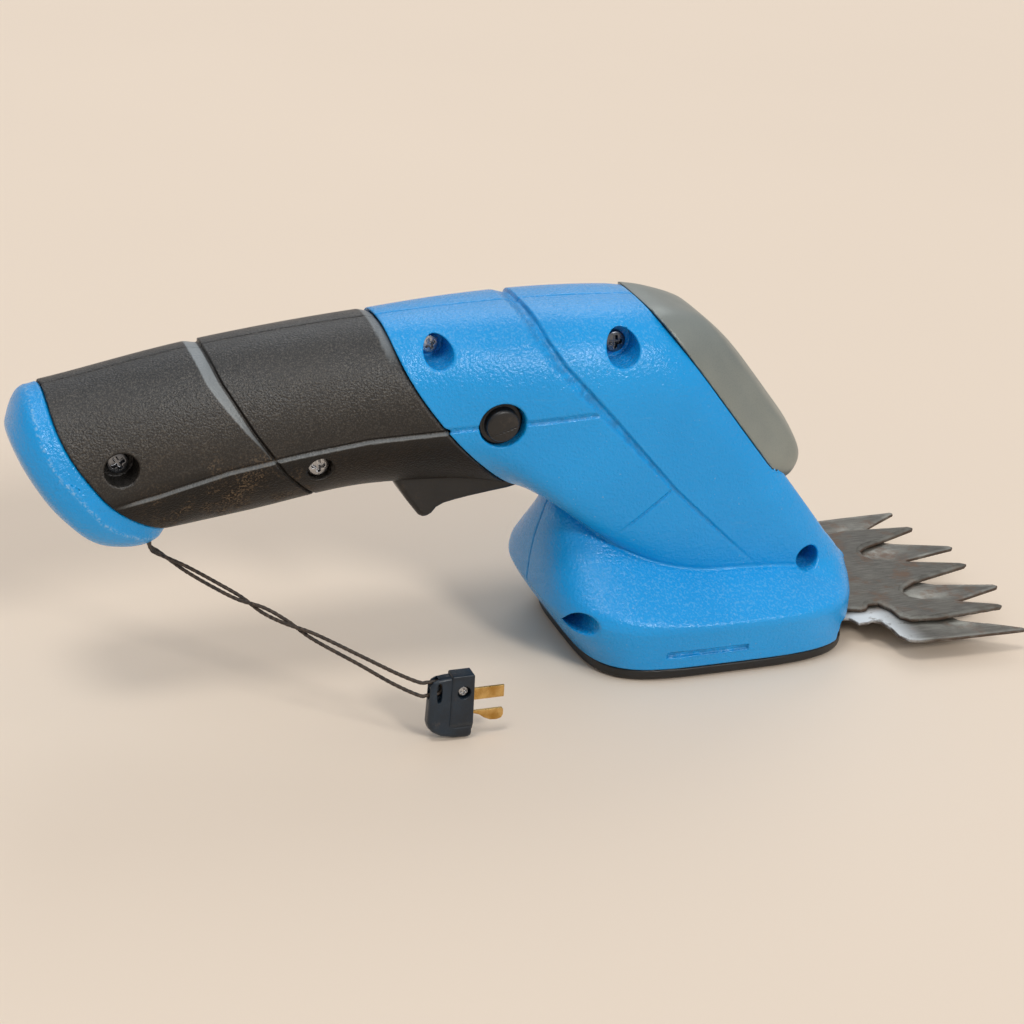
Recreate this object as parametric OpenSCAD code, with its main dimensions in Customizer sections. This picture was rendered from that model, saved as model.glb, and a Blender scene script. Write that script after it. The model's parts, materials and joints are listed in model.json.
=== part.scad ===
// Cordless grass shears: blue head, black grip, silver nose cover, toothed blades and a safety key.
// The origin is at the middle of the sole's flat underside, +X towards the blades and +Z up.

/* [Body] */
// Height of the top ridge above the sole
body_h = 100; // [96:1:108]
// Length of the black grip along the handle
grip_len = 94; // [92:1:104]
// Width of the black grip
grip_w = 37; // [36:1:42]
// Length of the blue head, from the grip to the nose
head_len = 74; // [72:1:80]
// Width of the blue head
head_w = 48; // [47:1:54]
// Length of the end cap
cap_len = 22; // [18:1:28]
// Depth of the nose cover
cover_d = 13; // [9:1:18]
// Nose seam ahead of the sole's middle, at half height
nose_x = 5; // [4:0.5:7]
// Slope of the seams from level, in degrees
rake = 52; // [50:1:55]
// Thickness of the shells
wall = 2.2; // [1.8:0.1:2.4]

/* [Foot] */
// Width of the foot at its widest
foot_w = 72.6; // [71:0.2:80]
// Reach of the foot behind the sole's middle
foot_rear = 44.5; // [44:0.5:50]
// Reach of the foot ahead of the sole's middle
foot_front = 44; // [43:0.5:50]
// Height of the foot's roof beside the head
roof_h = 26; // [25:0.5:28]
// Rise of the roof towards the back
roof_rise = 15; // [12:1:17]
// Thickness of the sole plate
sole_t = 3; // [2:0.5:4]

/* [Blades] */
// Width over the outer tips of the lower blade
blade_w = 80; // [76:1:84]
// Blade pivot ahead of the sole's middle
pivot_x = 32; // [31:0.5:34]
// Reach of the lower blade ahead of its pivot
blade_reach = 62; // [56:1:68]
// Thickness of a blade
blade_t = 1.3; // [1:0.1:1.6]
// Height of the lower blade above the floor
blade_z = 5; // [4.6:0.1:5.2]
// Gap between the blades
blade_gap = 0.15; // [0.1:0.05:0.2]
// Diameter of the blade pivot
pivot_d = 6; // [5:0.5:7]

/* [Drive] */
// Diameter of the motor can
motor_d = 28; // [24:1:30]
// Length of the motor can
motor_len = 38; // [32:1:40]
// Diameter of the motor shaft
shaft_d = 2.3; // [2:0.1:2.5]
// Module of the fast gears
fast_module = 0.6; // [0.58:0.01:0.62]
// Module of the slow gears
slow_module = 0.8; // [0.78:0.01:0.82]
// Throw of the eccentric pin
throw = 4; // [3:0.25:4.5]
// Diameter of the eccentric pin
pin_d = 5; // [4:0.5:5.5]
// Thickness of the gear base
base_t = 2.5; // [2:0.25:3]

/* [Controls] */
// Width of the trigger
trigger_w = 13.4; // [11:0.2:15]
// Length of the trigger behind its pin
trigger_len = 37; // [35:0.5:38]
// Drop of the trigger's hook below its pin
trigger_drop = 12.7; // [11:0.1:14]
// Diameter of the lock button
lock_d = 11.6; // [9:0.2:13]
// Travel of the lock button
lock_travel = 3; // [2:0.25:4]

/* [Battery] */
// Diameter of a cell
cell_d = 13.8; // [12:0.2:14]
// Length of a cell
cell_len = 41; // [36:0.5:42]

/* [Key] */
// Length of the key's body
key_len = 12; // [11.5:0.5:14]
// Height of the key's body
key_h = 18; // [17.5:0.5:20]
// Thickness of the key's body
key_t = 4.4; // [4:0.2:6]
// Reach of the key's prongs
prong_len = 8.5; // [7:0.5:9]
// Diameter of the lanyard cord
cord_d = 1; // [0.8:0.1:1.1]

/* [Hidden] */
$fn = 40;
// Overrun of every cut
over = 1;
// Seam between two fixed shells
seam = 0.2;
// Seam in front of the end cap
cap_seam = 0.4;
// Clearance beside a piece that is fixed in place
seat = 0.3;
// Radial clearance of a turning or sliding fit
fit = 0.06;
// Clearance beside a piece that moves freely
free = 0.6;
// Number of points round a handle section and round a foot section
ring_n = 32;
foot_n = 48;

// Smooth line through a table of rows that hold a place and a value
function slope(t, i) =
    let (a = max(i - 1, 0), b = min(i + 1, len(t) - 1))
    (t[b][1] - t[a][1]) / (t[b][0] - t[a][0]);
function row_of(t, u, i = 0) = i >= len(t) - 2 || u <= t[i + 1][0] ? i : row_of(t, u, i + 1);
function smooth(t, u) =
    let (i = row_of(t, u), h = t[i + 1][0] - t[i][0], q = (u - t[i][0]) / h)
    t[i][1] * (1 + 2 * q) * pow(1 - q, 2) + h * slope(t, i) * q * pow(1 - q, 2)
    + t[i + 1][1] * q * q * (3 - 2 * q) + h * slope(t, i + 1) * q * q * (q - 1);

// Places along the handle: 0 to 1 is the cap, 1 to 2 the grip, 2 to 3 the head, 3 to 4 the nose cover.
// Each place is a plane that leans by the rake, and its station is its X at half height.
mid_share = 0.7;
mid_h = body_h * mid_share;
nose_s = nose_x;
seam_s = nose_s - head_len;
cap_s = seam_s - grip_len;
end_s = cap_s - cap_len;
function station(u) =
    u < 1 ? end_s + u * cap_len :
    u < 2 ? cap_s + (u - 1) * grip_len :
    u < 3 ? seam_s + (u - 2) * head_len : nose_s + (u - 3) * cover_d;
function place(s) =
    s < cap_s ? (s - end_s) / cap_len :
    s < seam_s ? 1 + (s - cap_s) / grip_len :
    s < nose_s ? 2 + (s - seam_s) / head_len : 3 + (s - nose_s) / cover_d;
function plane_x(s, z) = s + (mid_h - z) / tan(rake);
// Place on the handle of a point in side view
function place_at(x, z) = place(x - (mid_h - z) / tan(rake));

// Heights as shares of the body's height, by place
top_shares = [[0, 0.62], [0.2, 0.725], [0.37, 0.768], [0.7, 0.825], [1, 0.852], [1.46, 0.922],
    [1.94, 0.967], [2.5, 0.988], [2.9, 0.982], [3, 0.972]];
bottom_shares = [[0, 0.48], [0.1, 0.437], [0.3, 0.418], [0.65, 0.418], [1, 0.45], [1.26, 0.478],
    [1.51, 0.513], [1.65, 0.521], [1.9, 0.507], [2.04, 0.47], [2.1, 0.424], [2.2, 0.3], [2.35, 0.15],
    [2.5, 0.09], [2.8, 0.09], [2.9, 0.11], [3, 0.19]];
crease_shares = [[0, 0.55], [1, 0.605], [1.19, 0.65], [1.43, 0.681], [1.95, 0.727], [2.5, 0.743],
    [3, 0.74]];
// Widths as shares of the width there, which runs from the grip's to the head's
head_mix_shares = [[0, 0], [1.4, 0], [2, 0.3], [2.3, 0.8], [2.6, 1], [3, 1]];
width_shares = [[0, 0.62], [0.2, 0.8], [0.6, 0.9], [1, 0.92], [1.45, 0.98], [2, 1], [2.6, 1],
    [2.85, 0.97], [2.95, 0.88], [3, 0.78]];
// Roundness of the section above and below its crease
upper_shares = [[0, 2.2], [1, 2.3], [2, 2.5], [3, 2.9]];
lower_shares = [[0, 2.2], [1, 1.9], [2, 1.9], [2.1, 2.4], [2.25, 4], [3, 4]];
// Bow of the seams towards the back, on the sides, as shares of the cap's
cap_bow = 8;
bow_shares = [[0, 0], [1, 1], [1.45, 0.35], [2, 0.75], [2.5, 0.3], [3, 0]];
function bow(u) = cap_bow * smooth(bow_shares, u);
// Nose cover's heights and widths
cover_top_shares = [[3, 0.974], [3.4, 0.963], [3.8, 0.935], [4, 0.895]];
cover_bottom_shares = [[3, 0.455], [3.4, 0.475], [3.75, 0.52], [4, 0.6]];
cover_width_shares = [[3, 0.88], [3.25, 0.82], [3.5, 0.74], [3.8, 0.64], [4, 0.5]];
// Reach of the cover back over the head's nose
cover_lap = 3.2;

function half_width(u) =
    smooth(width_shares, u) * (grip_w + (head_w - grip_w) * smooth(head_mix_shares, u)) / 2;
function top_z(u) = body_h * smooth(top_shares, u);
function bottom_z(u) = body_h * smooth(bottom_shares, u);
function crease_z(u) = body_h * smooth(crease_shares, u);
function power(v, e) = sign(v) * pow(abs(v), e);
function section_point(s, f, top, crease, bottom, w, up, low, bend = 0) =
    let (n = sin(f) >= 0 ? up : low,
        z = crease + power(sin(f), 2 / n) * (sin(f) >= 0 ? top - crease : crease - bottom))
    [plane_x(s, z) - bend * pow(cos(f), 2), w * power(cos(f), 2 / n), z];
// One ring of the handle at a place, drawn in by an inset
function handle_ring(u, inset, move = 0) =
    [for (k = [0 : ring_n - 1])
        section_point(station(u) + move, k * 360 / ring_n, top_z(u) - inset, crease_z(u),
            bottom_z(u) + inset, half_width(u) - inset, smooth(upper_shares, u),
            smooth(lower_shares, u), bow(u))];
function cover_ring(u, inset, move = 0) =
    [for (k = [0 : ring_n - 1])
        section_point(cover_station(u) + move, k * 360 / ring_n, body_h * smooth(cover_top_shares, u) - inset,
            mid_h, body_h * smooth(cover_bottom_shares, u) + inset,
            head_w / 2 * smooth(cover_width_shares, u) - inset, cover_round_share, cover_round_share)];
cover_round_share = 4.4;
function cover_station(u) = nose_s - cover_lap + (u - 3) * (cover_d + cover_lap);

// Solid through a row of closed rings, with each end closed to its middle
function middle(r) = [for (i = [0 : 2]) [for (p = r) p[i]] * [for (p = r) 1 / len(r)]];
module loft(rings) {
    n = len(rings[0]);
    last = len(rings) - 1;
    points = concat([for (r = rings) each r], [middle(rings[0]), middle(rings[last])]);
    sides = [for (i = [0 : last - 1]) for (k = [0 : n - 1])
        let (a = i * n + k, b = i * n + (k + 1) % n)
        each [[a, b + n, b], [a, a + n, b + n]]];
    ends = [for (k = [0 : n - 1]) let (b = (k + 1) % n)
        each [[k, b, (last + 1) * n], [last * n + b, last * n + k, (last + 1) * n + 1]]];
    polyhedron(points, concat(sides, ends), convexity = 8);
}

grip_places = [for (i = [0 : 10]) 1 + i / 10];
head_places = [2, 2.04, 2.08, 2.12, 2.18, 2.25, 2.35, 2.5, 2.65, 2.8, 2.88, 2.94, 3];
cap_places = [0, 0.06, 0.14, 0.25, 0.4, 0.6, 0.8, 1];
cover_places = [3, 3.3, 3.6, 3.8, 3.92, 4];
module grip_outer() {
    loft([for (u = grip_places) handle_ring(u, 0, u == 1 ? cap_seam : u == 2 ? -seam : 0)]);
}
module grip_inner() {
    loft([for (u = grip_places) handle_ring(u, wall, u == 1 ? -over : u == 2 ? over : 0)]);
}
// Middle of the grip's wall, where its inner ribs end
module grip_core() { loft([for (u = grip_places) handle_ring(u, wall / 2, u == 1 ? over : u == 2 ? -over : 0)]); }
module trunk_outer() { loft([for (u = head_places) handle_ring(u, 0)]); }
module trunk_inner() {
    loft([for (u = head_places) handle_ring(u, wall, u == 2 ? -over : u == 3 ? -wall - cover_lap : 0)]);
}

// Foot sections: height, rise to the back, rear reach, front reach, width, roundness
foot_shares = [[0.54, 0.2, 1, 1, 1, 3.5], [0.63, 0.34, 1.005, 0.99, 0.99, 3.3],
    [0.77, 0.64, 0.98, 0.945, 0.9, 2.8], [0.9, 0.9, 0.935, 0.87, 0.74, 2.5],
    [1, 1, 0.9, 0.82, 0.61, 2.5], [1.15, 1, 0.81, 0.72, 0.47, 2.5]];
rim_shares = [0.79, 0.98, 0.92, 4];
function foot_point(f, z, rise, rear, front, w, n) =
    let (x = (cos(f) < 0 ? rear : front) * power(cos(f), 2 / n))
    [x, w * power(sin(f), 2 / n), z + rise * pow(max(0, -x / rear), 2)];
function foot_ring(r, inset) =
    [for (k = [0 : foot_n - 1])
        foot_point(k * 360 / foot_n, roof_h * r[0] - inset, roof_rise * r[1], foot_rear * r[2] - inset,
            foot_front * r[3] - inset, foot_w / 2 * r[4] - inset, r[5])];
function rim_ring(z, inset) =
    [for (k = [0 : foot_n - 1])
        foot_point(k * 360 / foot_n, z, 0, foot_rear * rim_shares[0] - inset,
            foot_front * rim_shares[1] - inset, foot_w / 2 * rim_shares[2] - inset, rim_shares[3])];
module foot_outer() { loft(concat([rim_ring(sole_t + seam, 0)], [for (r = foot_shares) foot_ring(r, 0)])); }
module foot_inner() { loft(concat([rim_ring(0, wall)], [for (r = foot_shares) foot_ring(r, wall)])); }

// Upright round along Y, from one Y to another
module bar_y(r, from, to) {
    translate([0, from, 0]) rotate([-90, 0, 0]) cylinder(r = r, h = to - from);
}
module at(p) { translate([p[0], 0, p[1]]) children(); }

// Housing screws in side view: places on the handle and height shares
screw_r = 1.4;
screw_hole_r = screw_r + fit;
screw_head_r = 2.9;
screw_head_t = 2;
boss_r = 3.6;
boss_web = 7;
web_r = 0.7;
recess_wall = 1.3;
grip_screw_shares = [[1.035, 0.676], [1.53, 0.63]];
head_screw_shares = [[2.123, 0.929], [2.743, 0.904]];
function screw_place(q) = let (z = body_h * q[1]) [plane_x(station(q[0]), z), z];
foot_screw_x_shares = [-0.865, 0.64];
foot_screw_z_shares = [0.63, 1.0];
grip_screw_places = [for (q = grip_screw_shares) screw_place(q)];
foot_screw_places = [
    [foot_rear * foot_screw_x_shares[0], roof_h * foot_screw_z_shares[0]],
    [foot_front * foot_screw_x_shares[1], roof_h * foot_screw_z_shares[1]]];
head_screw_places = concat([for (q = head_screw_shares) screw_place(q)], foot_screw_places);
// Radius of the widest recess, and depth of the deepest screw head from the split
recess_r = 4.8;
seat_depth = 15;
grip_recess_shares = [0.875, 0.71];
head_recess_shares = [1, 0.94, 0.67, 0.71];
grip_seat_shares = [0.67, 0.8];
head_seat_shares = [1, 0.87, 0.67, 0.8];
grip_recess_r = recess_r * grip_recess_shares;
head_recess_r = recess_r * head_recess_shares;
grip_seats = -seat_depth * grip_seat_shares;
head_seats = -seat_depth * head_seat_shares;
module boss(p, reach, side) {
    at(p) {
        hull() {
            bar_y(boss_r, side > 0 ? seam / 2 : -reach, side > 0 ? reach : -seam / 2);
            bar_y(web_r, side > 0 ? seam : -reach, side > 0 ? reach : -seam);
        }
        for (a = [0 : 120 : 240]) hull() {
            bar_y(web_r, side > 0 ? reach / 2 : -reach, side > 0 ? reach : -reach / 2);
            translate([boss_web * cos(a), 0, boss_web * sin(a)])
                bar_y(web_r, side > 0 ? reach * web_from_share : -reach,
                    side > 0 ? reach : -reach * web_from_share);
        }
    }
}
web_from_share = 0.75;
// Tube round a screw's recess, from its head's seat to the outside
module recess_tube(p, r, y) { at(p) bar_y(r + recess_wall, -head_w, y + recess_wall); }
module screw_cut(p, r, y) {
    at(p) bar_y(screw_hole_r, -head_w, head_w);
    at(p) bar_y(r, -head_w, y);
}
module screw(p, y) {
    at(p) bar_y(screw_head_r, y - screw_head_t, y);
    at(p) bar_y(screw_r, y, screw_tip);
}
screw_tip = 9;

// Right or left half of space
module half_space(side) {
    big = grip_len + head_len + cap_len + blade_reach + foot_front;
    translate([-big, side > 0 ? seam / 2 : -big - seam / 2, -big]) cube([2 * big, big, 2 * big]);
}

// Battery pack: three cells in a triangle, tilted with the handle
pack_lean = 6.8;
pack_place_share = 1.35;
pack_height_share = 0.7;
pack_z = body_h * pack_height_share;
pack_x = plane_x(station(pack_place_share), pack_z);
cell_gap = 0.3;
cell_pitch = cell_d + cell_gap;
cell_places = [[-cell_pitch / 2, 0], [cell_pitch / 2, 0], [0, cell_pitch * sin(60)]];
nub_r = 2.6;
nub_h = 0.8;
strap_t = 0.4;
strap_w = 6;
module in_pack() { translate([pack_x, 0, pack_z]) rotate([0, -pack_lean, 0]) children(); }
module cell_round(p, r, len) {
    translate([-len / 2, p[0], p[1]]) rotate([0, 90, 0]) cylinder(r = r, h = len);
}
module pack_room() { in_pack() for (p = cell_places) cell_round(p, cell_d / 2 + seat, cell_len + 2 * over); }
rib_t = 2;
rib_step_share = 0.3;
rib_floor_share = 0.68;
module cell_ribs() {
    difference() {
        intersection() {
            grip_core();
            for (k = [-1, 1]) in_pack()
                translate([k * cell_len * rib_step_share - rib_t / 2, -grip_w, -grip_w])
                    cube([rib_t, 2 * grip_w, 2 * grip_w]);
        }
        pack_room();
        socket_room();
        translate([pack_x - grip_len, -rib_window, 0]) cube([2 * grip_len, 2 * rib_window, body_h]);
    }
}
rib_window = 4;

// Trigger, its pin and its switch
pin_back = 19;
pin_place_z_share = 0.55;
trigger_z = body_h * pin_place_z_share;
trigger_x = seam_s + pin_back;
trigger_swing = 7;
trigger_pin_r = 1.5;
trigger_shares = [[-1, 0.2], [-0.95, -0.16], [-0.85, -0.62], [-0.765, -0.95], [-0.735, -1], [-0.7, -0.99],
    [-0.665, -0.93], [-0.635, -0.82], [-0.58, -0.74], [-0.5, -0.69], [-0.4, -0.64], [-0.25, -0.58],
    [-0.11, -0.53], [0.05, -0.42], [0.095, -0.3], [0.095, 0.2], [0.05, 0.28], [-0.05, 0.28]];
plunger_back_share = 0.73;
plunger_x = trigger_x - trigger_len * plunger_back_share;
plunger_r = 1.5;
plunger_top_share = 0.245;
plunger_z = trigger_z + trigger_drop * plunger_top_share + seat;
plunger_len = 6;
switch_len = 18;
switch_w = 9;
switch_h = 10;
switch_z = plunger_z + plunger_len - over;
switch_x = plunger_x;
spring_wall = 0.7;
module trigger_room() {
    low = trigger_z - 2 * trigger_drop;
    translate([trigger_x - trigger_len - trigger_slack, -trigger_w / 2 - free, low])
        cube([trigger_len + trigger_front + 2 * trigger_slack, trigger_w + 2 * free, 2 * trigger_drop + room_up]);
}
trigger_slack = 1.5;
trigger_front = 3.5;
room_up = 8.5;
module switch_room() {
    translate([switch_x - switch_len / 2 - seat, -switch_w / 2 - seat, switch_z - seat])
        cube([switch_len + 2 * seat, switch_w + 2 * seat, switch_h + 2 * seat]);
}
switch_rib_step = 5;
module switch_ribs() {
    difference() {
        intersection() {
            grip_core();
            for (k = [-1, 1])
                translate([switch_x + k * switch_rib_step - rib_t / 2, -grip_w, switch_z - seat])
                    cube([rib_t, 2 * grip_w, switch_h + rib_t]);
        }
        switch_room();
    }
}
trigger_boss_r = 3.6;
module trigger_bosses(side) {
    at([trigger_x, trigger_z])
        bar_y(trigger_boss_r, side > 0 ? trigger_w / 2 + free : -head_w, side > 0 ? head_w : -trigger_w / 2 - free);
}

// Lock button on the right side
lock_ahead = 7.2;
lock_z_share = 0.728;
lock_z = body_h * lock_z_share;
lock_x = seam_s + lock_ahead;
lock_place = place_at(lock_x, lock_z);
lock_y = -half_width(lock_place);
lock_proud = 1.6;
lock_skirt = 5;
lock_stem_r = 2.4;
lock_stem_end = -5;
lock_floor = 2;
lock_bore = lock_y + lock_skirt + lock_travel + seat;
lock_spring_y = lock_y + lock_skirt - lock_proud;

// Key socket in the grip's underside
socket_len = 17;
socket_w = 9;
socket_h = 9;
socket_place_share = 1.34;
socket_rise = 2;
prong_pitch = 6.7;
prong_h = 3.3;
prong_t = 0.8;
prong_gap = 0.4;
socket_z = bottom_z(socket_place_share) + socket_rise;
socket_x = plane_x(station(socket_place_share), socket_z);
contact_t = 0.5;
module socket_room() {
    translate([socket_x - socket_len / 2 - seat, -socket_w / 2 - seat, socket_z - socket_h])
        cube([socket_len + 2 * seat, socket_w + 2 * seat, 2 * socket_h + seat]);
}
socket_rib = 1.6;
module socket_ribs() {
    difference() {
        intersection() {
            grip_core();
            translate([socket_x - socket_len / 2 - seat - socket_rib, -grip_w, socket_z - socket_h])
                cube([socket_len + 2 * seat + 2 * socket_rib, 2 * grip_w, 2 * socket_h]);
            union() for (k = [-1, 1])
                translate([socket_x + k * (socket_len / 2 + seat + socket_rib / 2) - socket_rib / 2, -grip_w, 0])
                    cube([socket_rib, 2 * grip_w, body_h]);
        }
        socket_room();
    }
}

// Blades: stack heights and the drive's places
upper_z = blade_z + blade_t + blade_gap;
upper_top = upper_z + blade_t;
base_lift = 1.25;
base_z = upper_top + base_lift;
base_top = base_z + base_t;
cam_back = 24;
cam_x = pivot_x - cam_back;
motor_back = 26;
motor_x = cam_x - motor_back;
gear_lift = 0.5;
slow_t = 4.5;
fast_t = 4;
mesh_gap = 0.5;
slow_z = base_top + gear_lift;
fast_z = slow_z + slow_t + mesh_gap + mesh_gap;
plate_lift = 3;
plate_z = fast_z + fast_t + plate_lift;
plate_t = 2.5;
plate_top = plate_z + plate_t;
motor_teeth = 10;
idler_wheel_teeth = 40;
idler_pinion_teeth = 12;
cam_teeth = 36;
fast_centre = fast_module * (motor_teeth + idler_wheel_teeth) / 2;
slow_centre = slow_module * (idler_pinion_teeth + cam_teeth) / 2;
idler_dx = (motor_back * motor_back + fast_centre * fast_centre - slow_centre * slow_centre) / (2 * motor_back);
idler_x = motor_x + idler_dx;
idler_y = sqrt(fast_centre * fast_centre - idler_dx * idler_dx);
idler_axle_r = 1.5;
cam_shaft_r = 2.5;
disc_rim = 1.4;
cam_disc_r = throw + pin_d / 2 + disc_rim;
// Directions of the two meshes, for turning the teeth into each other's gaps
slow_angle = atan2(idler_y, idler_x - cam_x);
fast_angle = atan2(-idler_y, motor_x - idler_x);

// Gear outline with involute flanks
pressure = 20;
backlash_share = 0.16;
addendum_share = 0.95;
dedendum_share = 1.3;
function involute(a) = tan(a) * 180 / PI - a;
function flank(m, n, r) =
    let (base = m * n / 2 * cos(pressure), a = r > base ? acos(base / r) : 0)
    (90 - backlash_share * 90 / 2) / n + involute(pressure) - involute(a);
module gear(m, n, t, bore) {
    r = m * n / 2;
    root = r - m * dedendum_share;
    steps = [root, max(root, r * cos(pressure)), r, r + m * addendum_share / 2, r + m * addendum_share];
    outline = [for (k = [0 : n - 1]) each concat(
        [for (s = steps) let (a = k * 360 / n - flank(m, n, s)) s * [cos(a), sin(a)]],
        [for (i = [4 : -1 : 0]) let (a = k * 360 / n + flank(m, n, steps[i])) steps[i] * [cos(a), sin(a)]])];
    linear_extrude(t) difference() {
        polygon(outline);
        circle(r = bore);
    }
}

// Posts between the plates, in plan, behind and ahead of the cam gear
cam_r = slow_module * (cam_teeth / 2 + addendum_share);
post_r = 2.8;
post_gap = 0.8;
rear_post_share = 0.215;
rear_post_x = motor_x - motor_d * rear_post_share;
rear_post_y = 15.6;
front_post_a = 54;
front_post_reach = cam_r + post_r + post_gap;
post_places = [[rear_post_x, rear_post_y], [rear_post_x, -rear_post_y],
    [cam_x + front_post_reach * cos(front_post_a), front_post_reach * sin(front_post_a)],
    [cam_x + front_post_reach * cos(front_post_a), -front_post_reach * sin(front_post_a)]];
plate_screw_r = 1.2;
plate_head_r = 2.2;
plate_head_t = 1.5;
module at_each(list) { for (p = list) translate([p[0], p[1], 0]) children(); }

// Sole screws up through the sole's posts and the gear base into the shells
sole_post_shares = [[-0.63, 0.606], [0.58, 0.7]];
sole_post_places = [for (s = [-1, 1]) for (q = sole_post_shares)
    [q[0] < 0 ? foot_rear * -abs(q[0]) : foot_front * q[0], s * foot_w / 2 * q[1]]];
sole_post_r = 3.2;
sole_boss_r = 3.4;
sole_screw_r = 1.45;
sole_head_r = 2.6;
sole_head_t = 1.6;
sole_screw_len = 16;
// Largest half-width that the gear base and the motor plate may have
base_rear_shares = [[-0.76, 0.66], [-0.52, 0.8]];
base_front_shares = [[0.585, 0.82], [0.885, 0.48]];
plate_w_share = 0.38;

// Upper blade's yoke room for the eccentric
yoke_room_share = 0.23;
yoke_half = pin_d / 2 + throw * yoke_room_share;
// Slot at the front of the shells for the blades
exit_w_share = 0.78;
module blade_exit() {
    w = foot_w * exit_w_share;
    translate([foot_front * exit_from_share, -w / 2, 0])
        cube([foot_front, w, base_z - exit_roof]);
}
exit_from_share = 0.5;
exit_roof = 0.2;
// Thin slot along the foot's right side
slot_len = 23;
slot_h = 1.6;
slot_deep = 1;
slot_x_share = -0.12;
slot_z_share = 0.285;
module foot_slot(side) {
    z = roof_h * slot_z_share;
    intersection() {
        translate([foot_front * slot_x_share - slot_len / 2, side > 0 ? 0 : -foot_w, z])
            cube([slot_len, foot_w, slot_h]);
        difference() {
            translate([-foot_w, -foot_w, 0]) cube([2 * foot_w, 2 * foot_w, roof_h]);
            loft(concat([rim_ring(sole_t + seam, slot_deep)], [for (r = foot_shares) foot_ring(r, slot_deep)]));
        }
    }
}

// Shells
module head_cavity() {
    trunk_inner();
    foot_inner();
}
module head_bosses(side) {
    for (p = head_screw_places) boss(p, head_w, side);
    trigger_bosses(side);
    at_each(sole_post_places) translate([0, 0, base_top + seat])
        cylinder(r = sole_boss_r, h = sole_screw_len);
    if (side < 0) {
        for (i = [0 : 3]) recess_tube(head_screw_places[i], head_recess_r[i], head_seats[i]);
        at([lock_x, lock_z]) bar_y(lock_d / 2 + fit + recess_wall, -head_w, lock_bore + lock_floor);
    }
}
module head_shell(side) {
    difference() {
        intersection() {
            union() {
                difference() {
                    union() {
                        trunk_outer();
                        foot_outer();
                    }
                    head_cavity();
                }
                head_bosses(side);
            }
            union() {
                trunk_outer();
                foot_outer();
            }
            half_space(side);
        }
        for (p = head_screw_places) at(p) bar_y(screw_hole_r, -head_w, screw_tip + over);
        at([trigger_x, trigger_z]) bar_y(trigger_pin_r + fit, -pin_reach - seat, pin_reach + seat);
        at_each(sole_post_places) cylinder(r = sole_screw_r + fit, h = sole_screw_len + 2 * over);
        trigger_room();
        blade_exit();
        motor_clear();
        cover_room();
        foot_slot(side);
        if (side < 0) {
            for (i = [0 : 3]) at(head_screw_places[i]) bar_y(head_recess_r[i], -foot_w, head_seats[i]);
            at([lock_x, lock_z]) bar_y(lock_d / 2 + fit, -head_w, lock_bore);
            at([lock_x, lock_z]) bar_y(lock_stem_r + fit, -head_w, 0);
        }
    }
}
pin_reach = 11;
// Room round the motor and its plate inside the shells
module motor_clear() {
    translate([motor_x, 0, plate_z - seat])
        cylinder(r = motor_d / 2 + free, h = motor_len + plate_t + bell_h + 2 * free);
    translate([0, 0, plate_z - seat]) linear_extrude(plate_t + plate_head_t + 2 * seat)
        polygon(plate_outline(seat));
}
// Room in the nose for the cover's back edge
module cover_room() {
    loft([for (u = cover_places) cover_ring(u, -cover_seat, u == 3 ? 0 : u == 4 ? cover_d : 0)]);
}
module right_head_shell() { color("dodgerblue") head_shell(-1); }
module left_head_shell() { color("dodgerblue") head_shell(1); }

module grip_shell(side) {
    difference() {
        intersection() {
            union() {
                difference() {
                    grip_outer();
                    grip_inner();
                }
                for (p = grip_screw_places) boss(p, grip_w, side);
                if (side < 0)
                    for (i = [0, 1]) recess_tube(grip_screw_places[i], grip_recess_r[i], grip_seats[i]);
                cell_ribs();
                switch_ribs();
                socket_ribs();
            }
            grip_outer();
            half_space(side);
        }
        for (p = grip_screw_places) at(p) bar_y(screw_hole_r, -grip_w, screw_tip + over);
        if (side < 0)
            for (i = [0, 1]) at(grip_screw_places[i]) bar_y(grip_recess_r[i], -grip_w, grip_seats[i]);
        trigger_room();
        socket_room();
        pack_room();
    }
}
module right_grip_shell() { color("dimgray") grip_shell(-1); }
module left_grip_shell() { color("dimgray") grip_shell(1); }

cap_lip = 0.7;
cap_bevel = 1.4;
cord_hole_r = cord_d / 2 + fit;
cap_floor_share = 0.3;
module end_cap() {
    color("dodgerblue") difference() {
        loft(concat(
            [for (u = cap_places) handle_ring(u, -cap_lip * u)],
            [for (i = [len(cap_places) - 1 : -1 : 0]) let (u = cap_places[i])
                if (u > cap_floor_share) handle_ring(u, wall - cap_lip * u, u == 1 ? -cap_bevel : 0)]));
        for (k = [0, 1])
            translate([cord_ends[k][0], cord_ends[k][1], cord_ends[k][2] - cap_len / 2])
                cylinder(r = cord_hole_r, h = cap_len);
    }
}
cover_seat = 0.15;
cover_floor_share = 3.8;
module nose_cover() {
    color("silver") loft(concat(
        [for (i = [len(cover_places) - 1 : -1 : 0]) let (u = cover_places[i])
            if (u <= cover_floor_share) cover_ring(u, wall, u == 3 ? cover_seat : 0)],
        [for (u = cover_places) cover_ring(u, 0, u == 3 ? cover_seat : 0)]));
}

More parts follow.
